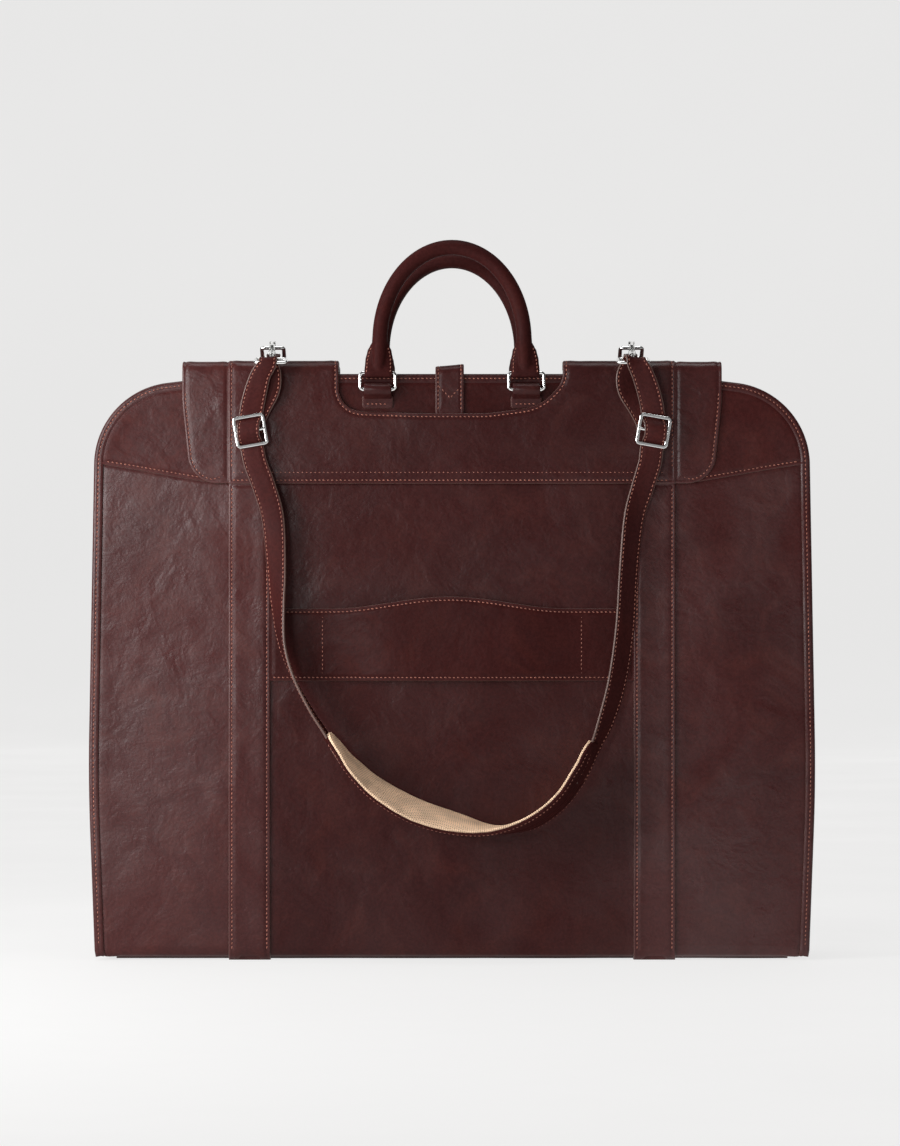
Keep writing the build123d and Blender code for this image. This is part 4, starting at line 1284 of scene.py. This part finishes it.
def pad_frames():
    rows = []
    for x, y, z, drop, width in PAD_ROWS:
        drop = math.radians(drop)
        rows.append((x, y, z, 0, -math.cos(drop), -math.sin(drop), width))
    return frames(rows, 3.0)


def pad_crown(u, half):
    return max(0.0, 1 - (abs(u) / half) ** 4)


def pad_outer(u, half):
    """Depth of the outer leather below the pad's middle plane, with two sewn channels."""
    depth = 1.0 + 2.4 * pad_crown(u, half)
    for channel in (-0.24 * half, 0.24 * half):
        depth -= 1.3 * math.exp(-((u - channel) / 1.1) ** 2)
    return depth + 0.5 * math.exp(-(u / (0.2 * half)) ** 4)


def shoulder_pad():
    """Outer leather with sewn channels, and the perforated lining on the shoulder's side."""
    stations = pad_frames()
    outer = []
    inner = []
    pattern = []
    travelled = 0.0
    for index, (centre, across, normal, width) in enumerate(stations):
        # the frame's normal points down and outwards
        half = width / 2
        if index:
            travelled += (centre - stations[index - 1][0]).length
        wave = noise.noise(Vector((centre.x / 16, 3.3, 0))) * 0.7
        section = []
        for k in range(PAD_STEPS + 1):
            u = half * math.sin(math.pi * (k / PAD_STEPS - 0.5))
            section.append(centre + across * u + normal * pad_outer(u, half))
        for k in range(PAD_STEPS + 1):
            u = half * math.sin(math.pi * (0.5 - k / PAD_STEPS))
            section.append(centre + across * u - normal * (0.9 + 0.3 * pad_crown(u, half)))
        outer.append(section)
        reach = half - 0.7 + 0.6 * noise.noise(Vector((centre.x / 7, 8.1, 0)))
        section = []
        marks = []
        for k in range(PAD_STEPS + 1):
            u = reach * math.sin(math.pi * (k / PAD_STEPS - 0.5))
            puff = 2.9 + (0.9 + wave) * pad_crown(u, reach)
            section.append(centre + across * u - normal * puff)
            marks.append(((travelled + u) * DIAGONAL, (travelled - u) * DIAGONAL))
        for k in range(PAD_STEPS + 1):
            u = reach * math.sin(math.pi * (0.5 - k / PAD_STEPS))
            section.append(centre + across * u - normal * 0.6)
            marks.append((travelled * DIAGONAL, travelled * DIAGONAL))
        inner.append(section)
        pattern.append(marks)
    shell = loft("pad_leather", outer, STRAPS)
    lining = loft("pad_perforated_lining", inner, [beige])
    layer = lining.data.uv_layers.new(name="pattern")
    flat = [mark for marks in pattern for mark in marks]
    for loop in lining.data.loops:
        layer.data[loop.index].uv = flat[loop.vertex_index]
    for piece in (shell, lining):
        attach(piece, "shoulder_strap")
    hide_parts("shoulder_pad")
    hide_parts("pad_lining")
    for side in (-1, 1):
        points = []
        for centre, across, normal, width in stations[3:-3]:
            u = width / 2 - 2.1
            points.append(centre + across * side * u + normal * (pad_outer(u, width / 2) - 0.15))
        stitch_run("shoulder_strap", points, [normal for _, _, normal, _ in stations[3:-3]])


shoulder_strap()
shoulder_pad()

# ---- Linings and the pieces under the base -------------------------------------------------

SOFT_CELL = 14.0             # longest edge of a facet


def soften(node, body, material, push, depth):
    """The node's own cloth in small facets, with slow waves towards one side."""
    source = NODES[node]
    work = bmesh.new()
    work.from_mesh(source.data)
    work.transform(source.matrix_world)
    bmesh.ops.triangulate(work, faces=work.faces)
    for _ in range(7):
        long = [edge for edge in work.edges if edge.calc_length() > SOFT_CELL * MM]
        bmesh.ops.subdivide_edges(work, edges=long, cuts=1)
        bmesh.ops.triangulate(work, faces=work.faces)
    for vertex in work.verts:
        spot = vertex.co / MM
        wave = noise.noise(Vector((spot.x / 55, spot.y / 55, spot.z / 70)))
        fine = noise.noise(Vector((spot.x / 17, spot.y / 17 + 4, spot.z / 21)))
        vertex.co += Vector(push) * depth * (0.55 + 0.7 * wave + 0.2 * fine) * MM
    mesh = bpy.data.meshes.new(node + "_soft")
    work.to_mesh(mesh)
    work.free()
    mesh.materials.clear()
    mesh.materials.append(material)
    mesh.shade_smooth()
    mesh.set_sharp_from_angle(angle=math.radians(35))
    piece = add_object(node + "_soft", mesh)
    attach(piece, body)
    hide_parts(node)


soften("base_panel", "spine", body_leather, (0, 0, 1), 0.3)
soften("spine_bands", "spine", body_leather, (0, 0, 1), 0.2)
soften("front_lining", "front_half", lining_cloth, (0, 1, 0), 0.9)
soften("back_lining", "back_half", lining_cloth, (0, -1, 0), 0.9)
soften("pocket_divider", "front_half", lining_cloth, (0, 1, 0), 1.1)
soften("pocket_zip", "front_half", webbing, (0, 1, 0), 0.25)
soften("garment_straps", "back_half", webbing, (0, 1, 0), 0.5)

# ---- Lights, camera and floor --------------------------------------------------------------


FLOOR_FRONT = -4500.0
FLOOR_BACK = 4800.0
FLOOR_HALF = 6500.0
SWEEP_RADIUS = 1200.0
SWEEP_STEPS = 16
WALL_TOP = 7500.0


def backdrop():
    """Lit studio paper: a floor that sweeps up into a wall."""
    profile = [(FLOOR_FRONT, 0.0), (FLOOR_BACK, 0.0)]
    for k in range(1, SWEEP_STEPS + 1):
        angle = math.pi / 2 * k / SWEEP_STEPS
        rise = SWEEP_RADIUS * (1 - math.cos(angle))
        profile.append((FLOOR_BACK + SWEEP_RADIUS * math.sin(angle), rise))
    profile.append((FLOOR_BACK + SWEEP_RADIUS, WALL_TOP))
    points = []
    for x in (-FLOOR_HALF, FLOOR_HALF):
        points += [(x, y, z) for y, z in profile]
    count = len(profile)
    faces = [(k, k + 1, k + 1 + count, k + count) for k in range(count - 1)]
    paper = plain("backdrop", (0.12, 0.12, 0.119), 0.9, scale=3.0, variation=0.01, bump=0.0)
    shader = paper.node_tree.nodes["Principled BSDF"]
    shader.inputs["Emission Color"].default_value = (1, 0.995, 0.99, 1)
    shader.inputs["Emission Strength"].default_value = 0.745
    add_mesh("backdrop", points, faces, [paper], closed=False)


def area_light(name, place, aim, size, power):
    light = bpy.data.lights.new(name, "AREA")
    light.shape = "RECTANGLE"
    light.size, light.size_y = size
    light.energy = power
    lamp = add_object(name, light)
    lamp.location = place
    lamp.rotation_euler = (Vector(aim) - Vector(place)).to_track_quat("-Z", "Y").to_euler()


def studio():
    backdrop()
    world = bpy.data.worlds.new("studio")
    bpy.context.scene.world = world
    world.use_nodes = True
    sky = world.node_tree.nodes["Background"]
    sky.inputs["Color"].default_value = (0.62, 0.62, 0.63, 1)
    sky.inputs["Strength"].default_value = 0.12
    area_light("key", (-0.95, -0.62, 0.58), (-0.1, 0, 0.3), (0.6, 0.8), 15)
    area_light("sheen", (-1.08, -2.9, 0.66), (0, 0, 0.3), (0.6, 0.5), 20)
    area_light("card", (-0.1, -3.12, 0.64), (0, 0, 0.45), (1.3, 0.4), 0.4)
    area_light("wall", (-1.6, 0.9, 3.0), (-0.6, 2.8, 0.9), (3.0, 1.0), 22)
    area_light("top", (0.1, -0.3, 2.2), (0, 0, 0.3), (1.2, 0.6), 11)
    camera = bpy.data.cameras.new("camera")
    camera.sensor_fit = "VERTICAL"
    camera.sensor_height = 36
    camera.lens = 111.9
    camera.shift_y = 0.0445
    viewer = add_object("camera", camera)
    viewer.location = (-0.0017, -3.05, 0.283)
    viewer.rotation_euler = (math.pi / 2, 0, 0)
    bpy.context.scene.camera = viewer
    bpy.context.scene.view_settings.view_transform = "Standard"


studio()


def finish_stitches():
    for group, (points, faces) in stitches.items():
        words = group if isinstance(group, str) else "_".join(group[:2])
        piece = add_mesh("stitches_" + words, points, faces, [thread])
        if isinstance(group, str):
            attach(piece, group)
        else:
            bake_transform(piece)


finish_stitches()
